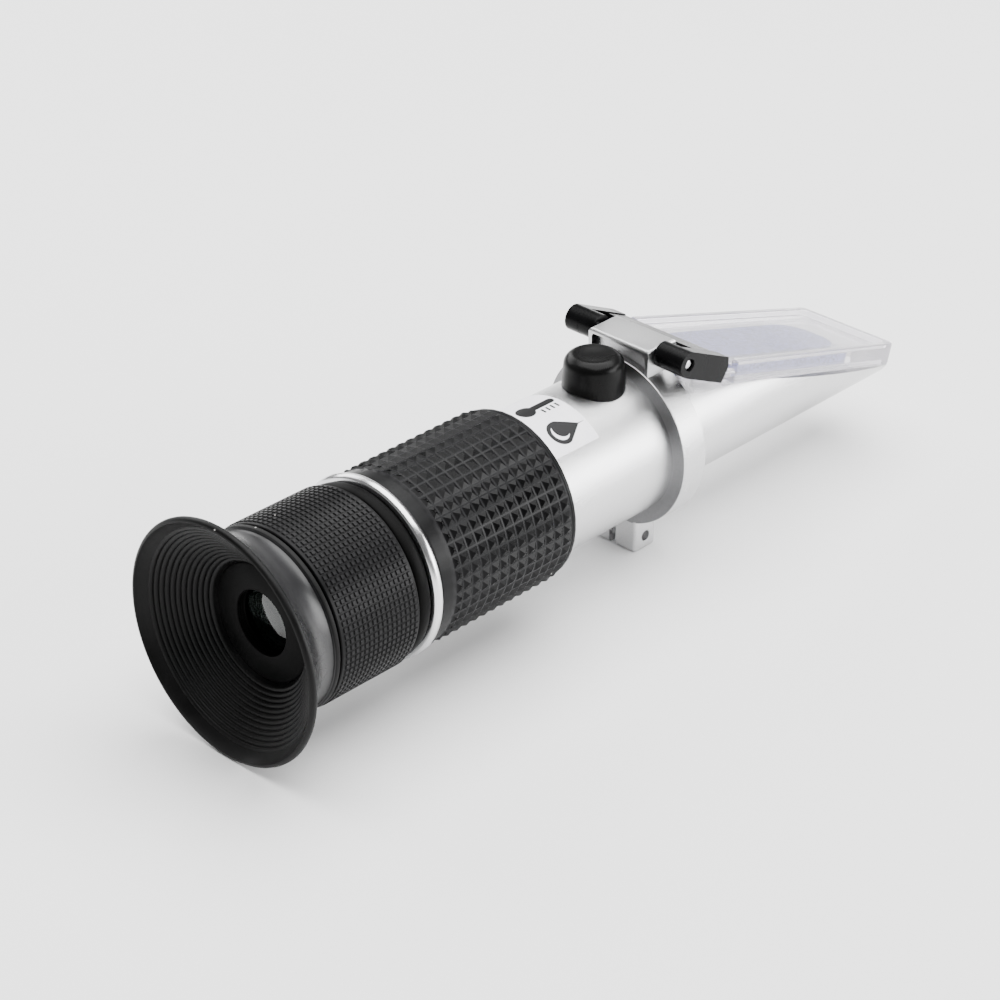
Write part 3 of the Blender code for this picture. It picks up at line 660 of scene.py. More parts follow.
def make_eyecup():
    """A flared soft cup: a thin rolled rim, a waisted flare outside and fine steps inside."""
    rim = arc((RIM_EDGE, RIM_RADIUS - RIM_EDGE), RIM_EDGE, 180, 25, 10)
    flare_steps, flare_bend = 16, 1.9
    flare = []
    for step in range(1, flare_steps + 1):
        t = step / flare_steps
        station = FLARE_FROM + (FLARE_TO - FLARE_FROM) * t
        swell = (RIM_RADIUS - RIM_EDGE - WAIST) * (1 - t) ** flare_bend
        flare.append((station, WAIST + swell))
    collar = [(10.0, 15.55), (10.15, 15.9), (10.4, 16.05), (10.95, 16.05), (CUP_REAR, 15.9)]
    neck = [(CUP_REAR, 10.3), (9.6, 10.3), (9.6, 10.45), (NOSE + 0.15, 10.5)]
    foot = (NOSE - 0.25, 10.8)
    towards_eye, towards_axis = 0.77, 0.64
    inside = []
    for ridge in range(RIDGES):
        for share, swell in RIDGE_SHAPE:
            t = (ridge + share) / RIDGES
            station = foot[0] + (MOUTH[0] - foot[0]) * t
            radius = foot[1] + (MOUTH[1] - foot[1]) * t
            inside.append((station - swell * towards_eye, radius - swell * towards_axis))
    lip = [MOUTH, (1.2, 19.75), (0.55, 20.3), (0.15, 20.55)]
    profile = rim + flare + collar + neck + inside + lip
    cup = lathe("eyecup_flared", profile + [profile[0]])
    finished(cup, LOOK["eyecup"], "eyepiece", "soft_black", "eyecup", smooth=40)

    def on_flare(face):
        station = middle_of(face)[0]
        return 1.3 < station < 10.1 and radius_of(face) > max(15.4, 21.5 - 1.1 * station)

    # The flare's outside gets a glossier copy of the cup's rubber whose lighter colour is painted
    # light.
    paint(cup, LOOK["flare"], on_flare)


def make_barrel():
    """The black barrel: nose face, hub, the bead in front of the knurl, and the tail."""
    hub_radius, bead_radius, tail_radius, wide_bore, bore = 14.0, 15.1, 11.2, 9.2, 7.4
    chamfer = 0.12
    nose = [(NOSE + chamfer, EYE_HOLE), (NOSE, EYE_HOLE + chamfer), (NOSE, 10.1)]
    nose += [(NOSE + 0.2, 10.4), (9.5, 10.4), (9.5, 9.9)]
    hub_from, hub_to = CUP_REAR + 0.3, 28.8
    hub = [(hub_from, 9.9), (hub_from, hub_radius), (hub_to, hub_radius), (hub_to, bead_radius)]
    swell = [math.radians(15 * i) for i in range(1, 12)]
    bead = [(29.15, bead_radius)]
    bead += [(30.45 - 1.3 * math.cos(a), 15.05 + 0.6 * math.sin(a)) for a in swell]
    tail = [(31.85, 15.0), (31.85, tail_radius), (34.2, tail_radius)]
    thread, pitch, root = [], 1.4, 10.8
    for turn in range(3):
        start = 34.4 + turn * pitch
        thread += [(start, tail_radius), (start + 0.5, root)]
        thread += [(start + 0.9, root), (start + 1.3, tail_radius)]
    ring_groove = [(39.3, tail_radius), (39.3, 10.1), (40.9, 10.1), (40.9, tail_radius)]
    end = [(43.5, tail_radius), (43.7, 11.0)]
    inside = [(43.7, wide_bore), (26.5, wide_bore), (26.5, bore), (10.6, bore)]
    for groove in range(3):
        back = 10.6 - 0.5 * groove
        inside += [(back, EYE_HOLE), (back - 0.25, EYE_HOLE + 0.2), (back - 0.4, EYE_HOLE)]
    profile = nose + hub + bead + tail + thread + ring_groove + end + inside
    barrel = lathe("eyepiece_barrel", profile + [profile[0]])
    finished(barrel, LOOK["barrel"], "eyepiece", "moulded_black", "eyepiece_housing", smooth=40)


KNURL_COLUMNS, KNURL_ROWS = 90, 16
PAD_GAP, PAD_SLOPE, PAD_HEIGHT = 0.12, 0.13, 0.2


def make_focus_sleeve():
    """The finely knurled sleeve: rows of small square pads."""
    inner, edge, ground = 14.3, 15.85, 16.02
    start, end = CUP_REAR + 0.4, 28.6
    first, last = start + 0.6, end - 0.4
    rows = [first + (last - first) * i / KNURL_ROWS for i in range(KNURL_ROWS + 1)]
    profile = [(start, inner), (start, edge), (start + 0.15, 16.0)]
    profile += [(station, ground) for station in rows]
    profile += [(end - 0.15, 16.0), (end, edge), (end, inner)]
    sleeve = lathe("focus_sleeve_knurled", profile + [profile[0]], KNURL_COLUMNS)
    hold(sleeve)
    bpy.ops.object.mode_set(mode="EDIT")

    def in_knurl(face):
        return first < middle_of(face)[0] < last and radius_of(face) > inner + 1

    choose(sleeve, "faces", in_knurl)
    bpy.ops.mesh.inset(thickness=PAD_GAP * MM, depth=0.0, use_individual=True)
    bpy.ops.mesh.inset(thickness=PAD_SLOPE * MM, depth=PAD_HEIGHT * MM, use_individual=True)
    bpy.ops.object.mode_set(mode="OBJECT")
    finished(sleeve, LOOK["sleeve"], "eyepiece", "soft_black", "focus_sleeve", smooth=25)


LENS_RADIUS = 7.1


def lens_face(vertex, edge, steps=8):
    """A shallow curved face, from near the axis out to the edge, each at its station."""
    reach = [0.2 + (LENS_RADIUS - 0.2) * i / steps for i in range(steps + 1)]
    return [(vertex + (edge - vertex) * (r / LENS_RADIUS) ** 2, r) for r in reach]


def make_eye_lenses():
    """The lens at the eye, curved on both faces, and the flat-backed one at the field."""
    front, back = lens_face(11.0, 12.2), lens_face(15.1, 13.9)[::-1]
    lens = lathe("eye_lens_polished", front + back, MIDDLING)
    # The eye lens's dark tint is painted shade of the dark barrel behind it.
    finished(lens, LOOK["shaded_eye_glass"], "eyepiece", "glass", "eye_lens", smooth=50)
    field = lens_face(19.5, 20.6) + [(22.6, LENS_RADIUS), (22.6, 0.2)]
    lens = lathe("field_lens_polished", field, MIDDLING)
    finished(lens, LOOK["glass"], "eyepiece", "glass", "field_lens", smooth=50)


# The tube, its ring and its grip.

TUBE_RADIUS = height_of(TUBE_HIGH)
CALIBRATION = 87.0


def make_tube():
    """The blasted tube: a thin neck for the ring and the grip, and a hole for the screw."""
    rear, shoulder, front = 34.2, 37.3, 99.2
    neck, bore, thread_bore = 12.6, 12.0, 11.5
    profile = [(rear, thread_bore), (rear, neck), (shoulder, neck), (shoulder, TUBE_RADIUS)]
    profile += [(front - 0.25, TUBE_RADIUS), (front, TUBE_RADIUS - 0.25), (front, bore)]
    profile += [(46.0, bore), (46.0, thread_bore), profile[0]]
    tube = lathe("tube_blasted", profile)
    hole = lathe("hole", [(9, 3.3), (16, 3.3)], SMALL, "Z", (CALIBRATION, 0, 0))
    cut(tube, hole)
    finished(tube, LOOK["tube"], "tube", "satin_metal", "body_tube")


def make_bright_ring():
    """The ring behind the grip: a crowned, polished face that widens towards the grip."""
    rear, inner = 31.95, 11.6
    crown = arc((32.95, 15.3), 1.1, 140, 45, 8)
    profile = [(rear, inner), (rear, 15.7)] + crown + [(33.7, 15.9), (33.7, 13.5), (37.0, 13.5)]
    profile += [(37.0, 12.9), (33.9, 12.9), (33.9, inner), (rear, inner)]
    ring = lathe("bright_ring_turned", profile)
    finished(ring, LOOK["bright"], "tube", "bright_metal", "grip_retaining_ring", smooth=40)


PYRAMID_COLUMNS, PYRAMID_ROWS = 44, 12
PYRAMID_HEIGHT = 0.52
PYRAMID_TURN = math.radians(2.3)
# Each step of a pyramid's side: how far in, in millimetres, and the share of the height gained.
PYRAMID_STEPS = ((0.06, 0.02), (0.4, 0.44), (0.4, 0.48), (0.08, 0.06))
PYRAMID_GAP = 0.09


def make_grip():
    """The soft grip: rows of low square pyramids between two plain bands, the rear row short."""
    low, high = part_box("grip_sleeve")
    start, end = station_of(low), station_of(high)
    inner, edge, band = 13.8, 15.3, 15.65
    valley = height_of(high) - PYRAMID_HEIGHT
    short, first, last = start + 3.3, start + 4.9, end - 1.05
    rows = [first + (last - first) * i / PYRAMID_ROWS for i in range(PYRAMID_ROWS + 1)]
    profile = [(start, inner), (start, edge), (start + 0.12, 15.55), (start + 0.4, band)]
    profile += [(short - 1.0, band), (short - 0.5, valley + 0.08), (short, valley)]
    profile += [(station, valley) for station in rows]
    profile += [(last + 0.12, valley), (last + 0.25, band), (end - 0.35, band)]
    profile += [(end - 0.1, 15.55), (end, edge), (end, inner), (start, inner)]
    grip = lathe("grip_pyramids", profile, PYRAMID_COLUMNS)
    hold(grip)
    bpy.ops.object.mode_set(mode="EDIT")

    def in_grid(face):
        return short < middle_of(face)[0] < last and radius_of(face) > inner + 1

    choose(grip, "faces", in_grid)
    bpy.ops.mesh.inset(thickness=PYRAMID_GAP * MM, depth=0.0, use_individual=True)
    for step_in, share_up in PYRAMID_STEPS:
        inwards, upwards = step_in * MM, share_up * PYRAMID_HEIGHT * MM
        bpy.ops.mesh.inset(thickness=inwards, depth=upwards, use_individual=True)
    bpy.ops.object.mode_set(mode="OBJECT")
    turned(grip, PYRAMID_TURN, "X", spot(0))
    finished(grip, LOOK["grip"], "tube", "soft_black", "grip_sleeve", smooth=18)


# The sticker, with a drop and a thermometer in place of lettering.

LABEL_FROM, LABEL_TO = -62.0, 43.7
STICKER_SKIN = TUBE_RADIUS + 0.03
INK_SKIN = TUBE_RADIUS + 0.14
# A shape to print stands between these heights, from inside the tube to above it.
POST_FROM, POST_TO = 10, 18


def wrapped_patch(name, start, end, inner, outer, from_angle, to_angle):
    """A thin patch round the optical axis between two angles in degrees.

    Angles are counted from the top towards the right.
    """
    wall = [(start, inner), (start, outer), (end, outer), (end, inner), (start, inner)]
    patch = lathe(name, wall)
    for angle, sign in ((from_angle, -1), (to_angle, 1)):
        radians = math.radians(angle)
        outward = Vector((0, -math.cos(radians), -math.sin(radians))) * sign
        slice_off(patch, spot(0), outward)
    return patch


def make_label():
    """The white sticker, with its two front corners rounded."""
    low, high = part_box("scale_label")
    start, end = station_of(low), station_of(high)
    outer = STICKER_SKIN + 0.1
    label = wrapped_patch("sticker", start, end, STICKER_SKIN, outer, LABEL_FROM, LABEL_TO)

    def is_front_corner(edge):
        at_corners = all(len(vertex.link_edges) == 3 for vertex in edge.verts)
        short = edge.calc_length() < 0.2 * MM
        return at_corners and short and abs(middle_of(edge)[0] - end) < 0.01

    rounded(label, is_front_corner, 1.2, 5)
    finished(label, LOOK["label"], "tube", "label", "scale_label")


def printed(name, shape, angle):
    """A thin layer of ink on the sticker: the part of it that a standing shape covers.

    The shape stands on the tube's top, and is first turned by an angle in degrees.
    """
    ink = wrapped_patch(name, 66.7, 78.0, INK_SKIN, INK_SKIN + 0.02, LABEL_FROM + 1, LABEL_TO - 1)
    turned(shape, math.radians(angle), "X", spot(0))
    combine(ink, shape, "INTERSECT")
    finished(ink, LOOK["ink"], "tube", "label")


def post(station, y, radius):
    """A round post for a round printed shape."""
    return lathe("post", [(POST_FROM, radius), (POST_TO, radius)], 40, "Z", (station, y, 0))


def bar_post(start, end, left, right):
    """A square post for a straight printed shape."""
    return slab("bar_post", (start, left, POST_FROM), (end, right, POST_TO))


def make_printed_drop():
    """A drop: a round post drawn out forward to a point, with a crescent left out."""
    middle = 71.9
    drop = post(middle, 0, 2.5)
    hold(drop)
    bpy.ops.object.mode_set(mode="EDIT")
    choose(drop, "verts", lambda vertex: station_of(vertex.co) > middle + 1.1)
    bpy.ops.transform.resize(value=(1, 0.03, 1), center_override=spot(middle))
    bpy.ops.transform.translate(value=(3.3 * MM, 0, 0))
    bpy.ops.object.mode_set(mode="OBJECT")
    crescent = cut(post(middle, 0, 1.7), post(middle + 0.6, 0.55, 1.7))
    printed("printed_drop", cut(drop, crescent), 27)


def make_printed_thermometer():
    """A thermometer: a bulb, a round-ended stem and four marks beside it."""
    bulb_at, tip, half_stem, turn = 70.9, 76.9, 0.75, -4
    thermometer = bar_post(70.5, tip, -half_stem, half_stem)
    join(thermometer, post(bulb_at, 0, 1.8))
    join(thermometer, post(tip, 0, half_stem))
    printed("printed_thermometer", thermometer, turn)
    for number in range(4):
        start = 73.2 + number * 1.1
        printed(f"printed_tick_{number + 1}", bar_post(start, start + 0.4, -2.4, -1.25), turn)


# The calibration cap, and what it covers.


def make_calibration_cap():
    """A thick soft cap: dished top, round shoulder, and a foot hollowed to sit on the tube."""
    at = (CALIBRATION, 0, 0)
    base = height_of(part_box("calibration_cap")[0]) - 0.6
    socket, ceiling = 3.4, 17.0
    wall = [(ceiling, 0.2), (ceiling, socket), (base, socket), (base, 5.6), (15.2, 5.52)]
    wall += [(16.6, 5.37)]
    shoulder = [(height, radius) for radius, height in arc((3.3, 17.2), 2.0, 0, 84, 10)]
    dish = [(19.16, 2.9), (19.06, 2.0), (19.0, 1.0), (18.98, 0.2)]
    cap = lathe("cap_moulded", wall + shoulder + dish, MIDDLING, "Z", at)
    seat_radius = TUBE_RADIUS + 0.12
    seat = lathe("seat", [(75, seat_radius), (99, seat_radius)], LARGE)
    cut(cap, seat)
    tidy_faces(cap, dissolve=False)
    soften(cap, 0.15, 2, 50)
    finished(cap, LOOK["cap"], "cap", "soft_black", "calibration_cap", smooth=40, flat=True)


def make_calibration_set():
    """The brass bush and the slotted screw under the cap."""
    at = (CALIBRATION, 0, 0)
    foot, flange, top = 9.8, 10.8, 15.2
    bush = [(foot, 1.5), (foot, 4.2), (flange, 4.2), (flange, 3.0), (top - 0.15, 3.0)]
    bush += [(top, 2.85), (top, 1.7), (top - 0.2, 1.5), (foot, 1.5)]
    bush = lathe("bush_turned", bush, MIDDLING, "Z", at)
    finished(bush, LOOK["brass"], "tube", "brass", "calibration_bush")
    turns, pitch, crest, root = 12, 0.5, 1.2, 1.02
    thread = [(9.2, 0.6), (9.5, 1.15)]
    for turn in range(turns):
        start = 9.7 + turn * pitch
        thread += [(start, crest), (start + pitch / 2, root)]
    thread += [(16.1, crest), (16.4, 0.95)]
    screw = lathe("calibration_screw_slotted", thread, SMALL, "Z", at)
    low, high = (CALIBRATION - 2, -HALF_SLOT, 15.6), (CALIBRATION + 2, HALF_SLOT, 17)
    cut(screw, slab("slot", low, high))
    finished(screw, LOOK["steel"], "calibration_screw", "steel", "calibration_screw")


# The clamp ring. The pin and the screw run across it at these places.

CLAMP_FROM, CLAMP_TO = 93.0, 99.0
CLAMP_RADIUS = 16.1
PIN = (96.6, 0, 18.2)
SCREW = (95.8, 0, -18.7)
BLOCK_HALF, BLOCK_TOP = 6.9, 19.6
BLOCK_WALL, BLOCK_ROOF = 0.75, 0.85
LUG_HALF, LUG_FRONT, LUG_TOP = 5.4, 98.5, -14.6
HALF_SPLIT = 0.75


def on_top(edge):
    """A test for an edge that lies above the clamp's ring."""
    return all(height_of(vertex.co) > CLAMP_RADIUS - 0.1 for vertex in edge.verts)


def upright(edge):
    """A test for an edge that stands straight up."""
    first, second = edge.verts
    return (first.co - second.co).xy.length < 0.01 * MM


def make_clamp_ring():
    """One casting: the ring, the hinge block on top of it and the split lugs below."""
    low, high = (CLAMP_FROM + 0.2, -BLOCK_HALF, 14.3), (100.5, BLOCK_HALF, BLOCK_TOP)
    clamp = rounded(slab("clamp_cast", low, high), on_top, 0.55, 4)
    side = BLOCK_HALF - BLOCK_WALL
    hollow = slab("hollow", (CLAMP_FROM - 1, -side, 13), (94.6, side, BLOCK_TOP - BLOCK_ROOF))
    cut(clamp, rounded(hollow, on_top, 0.5, 3))
    inner, outer = TUBE_RADIUS - 0.05, CLAMP_RADIUS
    band = [(CLAMP_FROM, inner), (CLAMP_FROM, outer - 0.3), (CLAMP_FROM + 0.09, outer - 0.09)]
    band += [(CLAMP_FROM + 0.3, outer), (CLAMP_TO - 0.35, outer), (CLAMP_TO, outer - 0.35)]
    band += [(CLAMP_TO, inner), (CLAMP_FROM, inner)]
    join(clamp, lathe("band", band))
    foot = -AXIS_Z / MM
    lug = slab("lug", (CLAMP_FROM, -LUG_HALF, foot), (LUG_FRONT, LUG_HALF, LUG_TOP))
    join(clamp, rounded(lug, lambda edge: True, 0.7, 4))
    cut(clamp, slab("split", (92, -HALF_SPLIT, -22.5), (100, HALF_SPLIT, -13)))
    cut(clamp, lathe("screw_hole", [(-7, 1.0), (7, 1.0)], SMALL, "Y", SCREW))
    cut(clamp, lathe("head_recess", [(3.4, 2.2), (7, 2.2)], SMALL, "Y", SCREW))
    cut(clamp, lathe("pin_bore", [(-9, 1.3), (9, 1.3)], SMALL, "Y", PIN))
    tidy_faces(clamp)
    soften(clamp, 0.12, 2, 40)
    finished(clamp, LOOK["cast"], "tube", "satin_metal", "clamp_ring", smooth=40, flat=True)

    def in_hollow(face):
        station, y, height = middle_of(face)
        sunk = CLAMP_FROM + 0.35 < station < 94.8 and abs(y) < side + 0.2
        return sunk and 14.5 < height < 19 and radius_of(face) > outer + 0.05

    def on_rear_of_band(face):
        return middle_of(face)[0] < CLAMP_FROM + 0.05 and radius_of(face) < outer - 0.1

    # The faces in the block's hollow get a near-black copy of the casting: painted shade.
    paint(clamp, LOOK["hollow_shade"], in_hollow)
    # The band's rear face, turned away from the lights, gets a darker copy of the casting: painted
    # shade.
    paint(clamp, LOOK["shaded_rear_face"], on_rear_of_band)


def make_clamp_screw():
    """The slotted screw that pulls the lugs together, with its head on the left."""
    shank, head, slot_floor = 0.9, 1.85, 4.7
    profile = [(-3.4, 0.5), (-3.2, shank), (3.7, shank), (3.7, 1.7), (3.85, head), (5.1, head)]
    screw = lathe("clamp_screw_slotted", profile + [(5.3, 1.65)], SMALL, "Y", SCREW)
    low, high = (93, slot_floor, SCREW[2] - HALF_SLOT), (99, 6, SCREW[2] + HALF_SLOT)
    cut(screw, slab("slot", low, high))
    finished(screw, LOOK["steel"], "tube", "steel", "clamp_screw")


def make_hinge_pin():
    """The pin, domed at both ends."""
    radius = 0.96
    profile = [(-13.2, 0.35), (-13.1, 0.75), (-12.9, radius)]
    profile += [(12.9, radius), (13.1, 0.75), (13.2, 0.35)]
    pin = lathe("hinge_pin_domed", profile, SMALL, "Y", PIN)
    finished(pin, LOOK["steel"], "tube", "steel", "hinge_pin", smooth=50)


# The cover. Its plate slopes down forward, and is modelled flat and then tilted about the top of
# its far edge.

SLOPE = math.radians(17.0)
LIP_HEIGHT = -1.6
PLATE_END = spot(LENGTH, 0, LIP_HEIGHT)
ARM_SLOPE = math.radians(25.0)
ARM_END = 107.1
HINGE_RADIUS = 2.4
FRAME_HALF = 13.5
ARM_INNER = 10.5
TONGUE_HALF, TONGUE_TOP, TONGUE_BOTTOM = 7.2, 1.9, 3.1


def along_slope(station):
    """How far along the slope a station is from the plate's far edge. Behind it is negative."""
    return (station - LENGTH) / math.cos(SLOPE)


def down_slope(x, y, depth):
    """A place in the plate's own flat frame, before it is tilted: x runs to its far edge."""
    return LENGTH + x, y, LIP_HEIGHT - depth


def onto_slope(piece):
    """Tilts a piece from the plate's flat frame to where it belongs."""
    return turned(piece, SLOPE, "Y", PLATE_END)


def cross_cylinder(name, side, near, far, radius):
    """A cylinder on the pin's line, between two distances out to one side."""
    low, high = sorted((side * near, side * far))
    return lathe(name, [(low, radius), (high, radius)], SMALL, "Y", PIN)


def make_arm(name, side):
    """One arm: a round eye on the pin, drawn out forward and down to a slanted end."""
    arm = cross_cylinder(name, side, ARM_INNER, FRAME_HALF, HINGE_RADIUS)
    forward = Vector((math.cos(ARM_SLOPE), 0, -math.sin(ARM_SLOPE)))
    middle = spot(*PIN)
    hold(arm)
    bpy.ops.object.mode_set(mode="EDIT")
    choose(arm, "verts", lambda vertex: (vertex.co - middle).dot(forward) > 0)
    bpy.ops.transform.translate(value=forward * 12 * MM)
    bpy.ops.object.mode_set(mode="OBJECT")
    slice_off(arm, spot(ARM_END), (1, 0, 0))
    slice_off(arm, spot(ARM_END, 0, 13.9), (0.8, 0, -0.6))
    return arm


def make_hinge_frame():
    """Two arms on barrels, joined ahead of the hinge block by a sloping bar."""
    hinge = make_arm("hinge_frame_moulded", -1)
    join(hinge, make_arm("arm", 1))
    reach = ARM_INNER + 0.5
    bar_from, bar_top = 101.8, 18.2
    bar = slab("bar", (bar_from, -reach, 14.6), (107.3, reach, bar_top))
    turned(bar, ARM_SLOPE, "Y", spot(bar_from, 0, bar_top))
    slice_off(bar, spot(106.9), (1, 0, 0))
    join(hinge, bar)
    for side in (-1, 1):
        barrel = cross_cylinder("barrel", side, BLOCK_HALF + 0.3, reach, HINGE_RADIUS - 0.03)
        join(hinge, barrel)
    cut(hinge, lathe("pin_bore", [(-16, 1.15), (16, 1.15)], SMALL, "Y", PIN))
    low = down_slope(along_slope(104.5), -TONGUE_HALF - 0.4, 3.45)
    high = down_slope(along_slope(109), TONGUE_HALF + 0.4, 1.55)
    cut(hinge, onto_slope(slab("slot", low, high)))
    tidy_faces(hinge)
    soften(hinge, 0.22, 3, 35)
    finished(hinge, LOOK["hinge"], "cover", "hinge_black", "hinge_frame", smooth=40, flat=True)


PLATE_DEPTH = 4.2
PLATE_HALF, FAR_HALF = 12.65, 11.1
NECK_HALF = 10.0
FLOOR_DEPTH = 1.1
FLOOR_HALF, FLOOR_REAR_HALF, FLOOR_FAR_HALF = 9.0, 11.2, 9.7
UNDER_HALF, UNDER_TOP = 9.4, 3.3


def ahead_of(back):
    """A test for a point that is less than a distance behind the plate's far edge."""
    return lambda vertex: vertex.co.x > PLATE_END.x - back * MM


def widen(share):
    """In edit mode, scales what is selected across the plate."""
    bpy.ops.transform.resize(value=(1, share, 1), center_override=PLATE_END)


def make_plate():
    """The clear plate: a raised lip, a sunk floor, a skirt below, a rear tongue and two stubs."""
    shoulder, rear = along_slope(111.0), along_slope(107.6)
    at_end, ahead_of_middle, near_end = ahead_of(1), ahead_of(30), ahead_of(5)
    low, high = down_slope(shoulder, -PLATE_HALF, PLATE_DEPTH), down_slope(0, PLATE_HALF, 0)
    plate = slab("plate_clear", low, high)
    hold(plate)
    bpy.ops.object.mode_set(mode="EDIT")
    choose(plate, "verts", at_end)
    widen(FAR_HALF / PLATE_HALF)
    bpy.ops.object.mode_set(mode="OBJECT")
    rounded(plate, lambda edge: upright(edge) and at_end(edge.verts[0]), 1.5, 3)
    low, high = down_slope(rear, -NECK_HALF, PLATE_DEPTH), down_slope(shoulder + 2, NECK_HALF, 0)
    join(plate, slab("neck", low, high))
    low, high = down_slope(rear + 1.3, -FLOOR_HALF, FLOOR_DEPTH), down_slope(-1.6, FLOOR_HALF, -1)
    recess = slab("recess", low, high)
    hold(recess)
    bpy.ops.object.mode_set(mode="EDIT")
    choose(recess, "verts", lambda vertex: not ahead_of_middle(vertex))
    widen(FLOOR_REAR_HALF / FLOOR_HALF)
    choose(recess, "verts", ahead_of_middle)
    widen(FLOOR_FAR_HALF / FLOOR_HALF)
    bpy.ops.object.mode_set(mode="OBJECT")
    rounded(recess, lambda edge: upright(edge) and near_end(edge.verts[0]), 1.2, 4)
    cut(plate, recess)
    low, high = down_slope(-50.0, -UNDER_HALF, 8), down_slope(-2.0, UNDER_HALF, UNDER_TOP)
    cut(plate, slab("under", low, high))
    tidy_faces(plate)
    soften(plate, 0.28, 3, 40)
    low = down_slope(along_slope(105.2), -TONGUE_HALF, TONGUE_BOTTOM)
    high = down_slope(rear + 1.2, TONGUE_HALF, TONGUE_TOP)
    join(plate, slab("tongue", low, high))
    stub_from = LENGTH + along_slope(107.9)
    stub = [(stub_from, 0.65), (stub_from + 0.2, 0.8), (LENGTH + shoulder + 0.6, 0.8)]
    for side in (-1, 1):
        join(plate, lathe("stub", stub, SMALL, "X", (0, side * 11.7, LIP_HEIGHT - 2.4)))
    onto_slope(plate)
    finished(plate, LOOK["clear"], "cover", "clear", "daylight_plate", smooth=40, flat=True)


def make_window():
    """The frosted window, nearly square behind and round ahead, set in the plate's underside."""
    rear, tip, half = along_slope(114.5), along_slope(150.0), 6.4
    low, high = down_slope(rear, -half, UNDER_TOP + 0.02), down_slope(tip, half, 2.0)
    window = slab("window_frosted", low, high)
    ahead = spot(*down_slope(tip - 2, 0, 0)).x
    rounded(window, lambda edge: upright(edge) and edge.verts[0].co.x > ahead, 5.2, 14)
    rounded(window, lambda edge: upright(edge) and edge.verts[0].co.x < ahead - 20 * MM, 0.6, 3)
    onto_slope(window)
    finished(window, LOOK["frosted"], "cover", "frosted", "diffuser_window", flat=True)


# The prism and its body.

CUT_DEPTH = 4.8
PRISM_REAR, PRISM_FRONT, PRISM_HALF, PRISM_BOTTOM = 114.0, 150.0, 6.8, -7.2
POCKET_GAP = 0.3


def slice_slope(piece, depth):
    """Slices a piece along the plane that lies a depth under the plate's lip."""
    normal = Vector((math.sin(SLOPE), 0, math.cos(SLOPE)))
    return slice_off(piece, PLATE_END - normal * depth * MM, normal)


def make_prism_body():
    """The round bar, sliced down the slope, bored from behind and pocketed for the prism."""
    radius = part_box("prism_body")[1].y / MM
    light_path, bore, bore_end = 6.3, 9.4, 101.0
    rear, groove_from, groove_to, groove = 92.3, 93.4, 95.0, 10.7
    profile = [(115.0, 0.3), (115.0, light_path), (bore_end, light_path), (bore_end, bore)]
    profile += [(rear, bore), (rear, radius), (groove_from, radius), (groove_from, groove)]
    profile += [(groove_to, groove), (groove_to, radius), (LENGTH - 0.3, radius)]
    profile += [(LENGTH, radius - 0.3), (LENGTH, 0.3)]
    body = lathe("prism_body_sliced", profile)
    slice_slope(body, CUT_DEPTH)
    low = (PRISM_REAR - POCKET_GAP, -PRISM_HALF - POCKET_GAP, PRISM_BOTTOM - POCKET_GAP)
    high = (PRISM_FRONT + POCKET_GAP, PRISM_HALF + POCKET_GAP, 20)
    cut(body, slab("pocket", low, high))
    low = down_slope(along_slope(PRISM_REAR - 2.1), -8.5, CUT_DEPTH + 1.2)
    high = down_slope(along_slope(PRISM_FRONT + 0.9), 8.5, -1)
    cut(body, onto_slope(slab("seat", low, high)))
    tidy_faces(body)
    soften(body, 0.15, 2, 30)
    finished(body, LOOK["tube"], "tube", "satin_metal", "prism_body", smooth=30, flat=True)


def make_main_prism():
    """The measuring prism, with its fine ground edges."""
    low, high = (PRISM_REAR, -PRISM_HALF, PRISM_BOTTOM), (PRISM_FRONT, PRISM_HALF, 12)
    prism = slab("prism_polished", low, high)
    slice_slope(prism, CUT_DEPTH - 1.1)
    slice_off(prism, spot(PRISM_FRONT, 0, PRISM_BOTTOM + 2), (1, 0, -1))
    soften(prism, 0.18, 1, 30)
    finished(prism, LOOK["prism"], "tube", "glass", "main_prism", smooth=20, flat=True)


# Everything else keeps its CAD shape, and takes a finish.

INNER_FINISHES = {
    "inner": (
        "lens_spacer lens_retaining_ring reticle_holder reticle_retaining_ring "
        "stray_light_baffle objective_cell objective_retaining_ring"
    ),
    "seal": "focus_o_ring front_o_ring",
    "pale_seal": "prism_gasket",
    "glass": "reticle objective_lens",
    "steel": (
        "strip_mount_screw strip_screw cell_screw "
        "prism_set_screw_1 prism_set_screw_2 prism_set_screw_3"
    ),
    "tube": "strip_mount",
    "strip": "bimetal_strip",
    "nylon": "calibration_pusher",
}


def finish_inner_nodes():
    """Gives the nodes that no piece replaces their finishes."""
    for look, nodes in INNER_FINISHES.items():
        for name in nodes.split():
            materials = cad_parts[name].data.materials
            materials.clear()
            materials.append(LOOK[look])


# The stage.


def make_stage():
    """A pale floor that runs off in every direction."""
    deselect()
    bpy.ops.mesh.primitive_plane_add(size=8, location=(0, 0, CAD_BOX[0].z))
    floor = named_start("floor")
    made, tree, shader = new_material("floor_pale", (0.9, 0.9, 0.9), 0.6)
    patches = effect(tree, SMUDGES, Scale=6.0)
    colour = blended(tree, patches, (0.9, 0.9, 0.9), (0.92, 0.92, 0.92))
    tree.links.new(colour, shader.inputs["Base Color"])
    floor.data.materials.append(made)


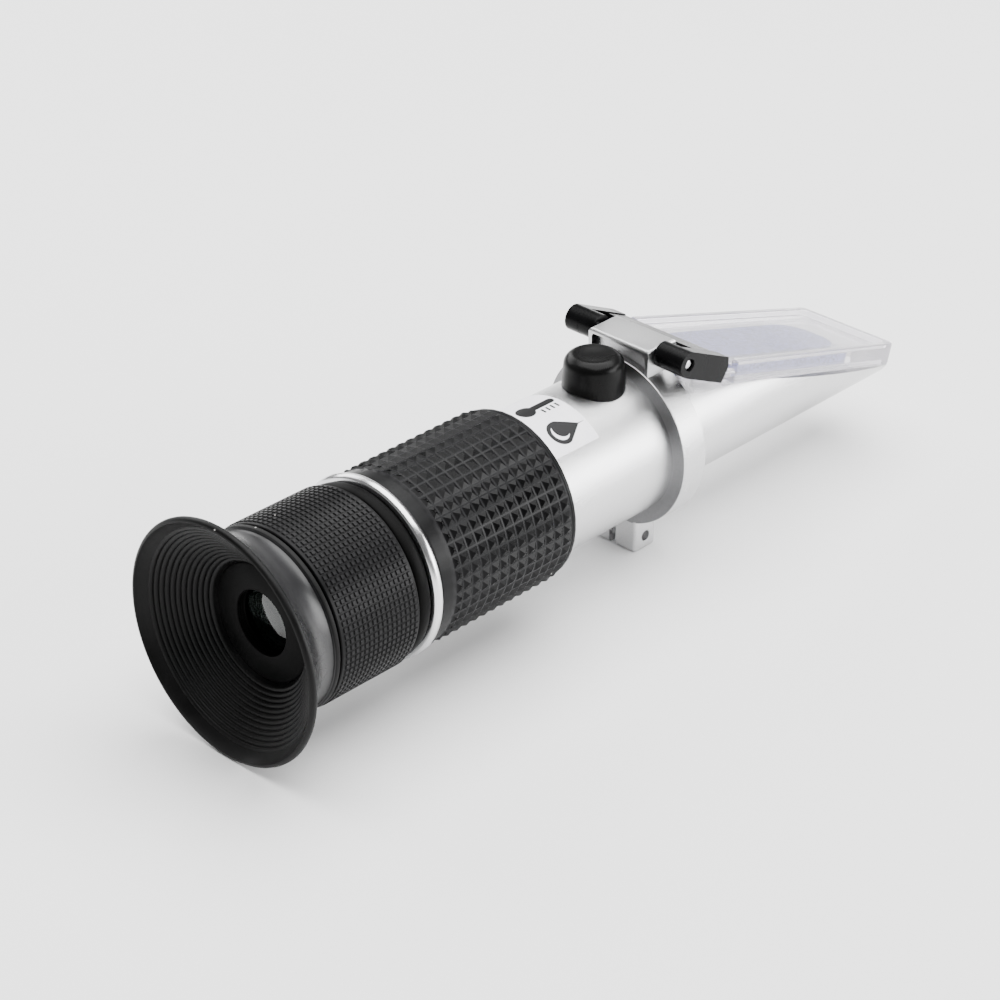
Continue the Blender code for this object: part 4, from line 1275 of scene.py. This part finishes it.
def add_area_light(name, place, size, power):
    """A rectangular light that faces the tube's middle. The size is in metres."""
    aim = Vector((0, 0, AXIS_Z))
    light = bpy.data.lights.new(name, "AREA")
    light.shape = "RECTANGLE"
    light.size, light.size_y = size
    light.energy = power
    lamp = bpy.data.objects.new(name, light)
    lamp.location = place
    lamp.visible_camera = False
    lamp.rotation_euler = (aim - Vector(place)).to_track_quat("-Z", "Y").to_euler()
    bpy.context.scene.collection.objects.link(lamp)


def make_light():
    """A dim room with a broad light above, one ahead on the right and two weak ones on the left."""
    world = bpy.data.worlds.new("dim_room")
    world.use_nodes = True
    background = world.node_tree.nodes["Background"]
    background.inputs["Color"].default_value = (1.0, 1.0, 1.0, 1)
    background.inputs["Strength"].default_value = 0.24
    bpy.context.scene.world = world
    add_area_light("top_light", (0.15, 0.0, 0.95), (1.3, 1.3), 38)
    add_area_light("front_light", (0.75, -0.95, 0.3), (1.2, 0.56), 24)
    add_area_light("back_light", (0.1, 0.9, 0.5), (0.9, 0.5), 7)
    add_area_light("far_light", (1.2, 0.9, 0.2), (1.6, 0.5), 2.5)


def make_camera():
    """Looks along the tube from behind its right side, from a little above."""
    camera = bpy.data.objects.new("camera", bpy.data.cameras.new("camera"))
    camera.data.lens = 106.4
    camera.data.sensor_width = 36
    camera.data.clip_end = 20
    place = Vector((-0.3315, -0.3004, 0.2735))
    aim = Vector((-0.0163, 0, 0.0212))
    roll = math.radians(0.25)
    camera.location = place
    look = (aim - place).to_track_quat("-Z", "Y")
    camera.rotation_euler = (look.to_matrix() @ Matrix.Rotation(roll, 3, "Z")).to_euler()
    bpy.context.scene.collection.objects.link(camera)
    bpy.context.scene.camera = camera


def main():
    make_eyecup()
    make_barrel()
    make_focus_sleeve()
    make_eye_lenses()
    make_tube()
    make_bright_ring()
    make_grip()
    make_label()
    make_printed_drop()
    make_printed_thermometer()
    make_calibration_cap()
    make_calibration_set()
    make_clamp_ring()
    make_clamp_screw()
    make_hinge_pin()
    make_hinge_frame()
    make_plate()
    make_window()
    make_prism_body()
    make_main_prism()
    finish_inner_nodes()
    deselect()
    make_stage()
    make_light()
    make_camera()
    bpy.context.view_layer.update()


main()
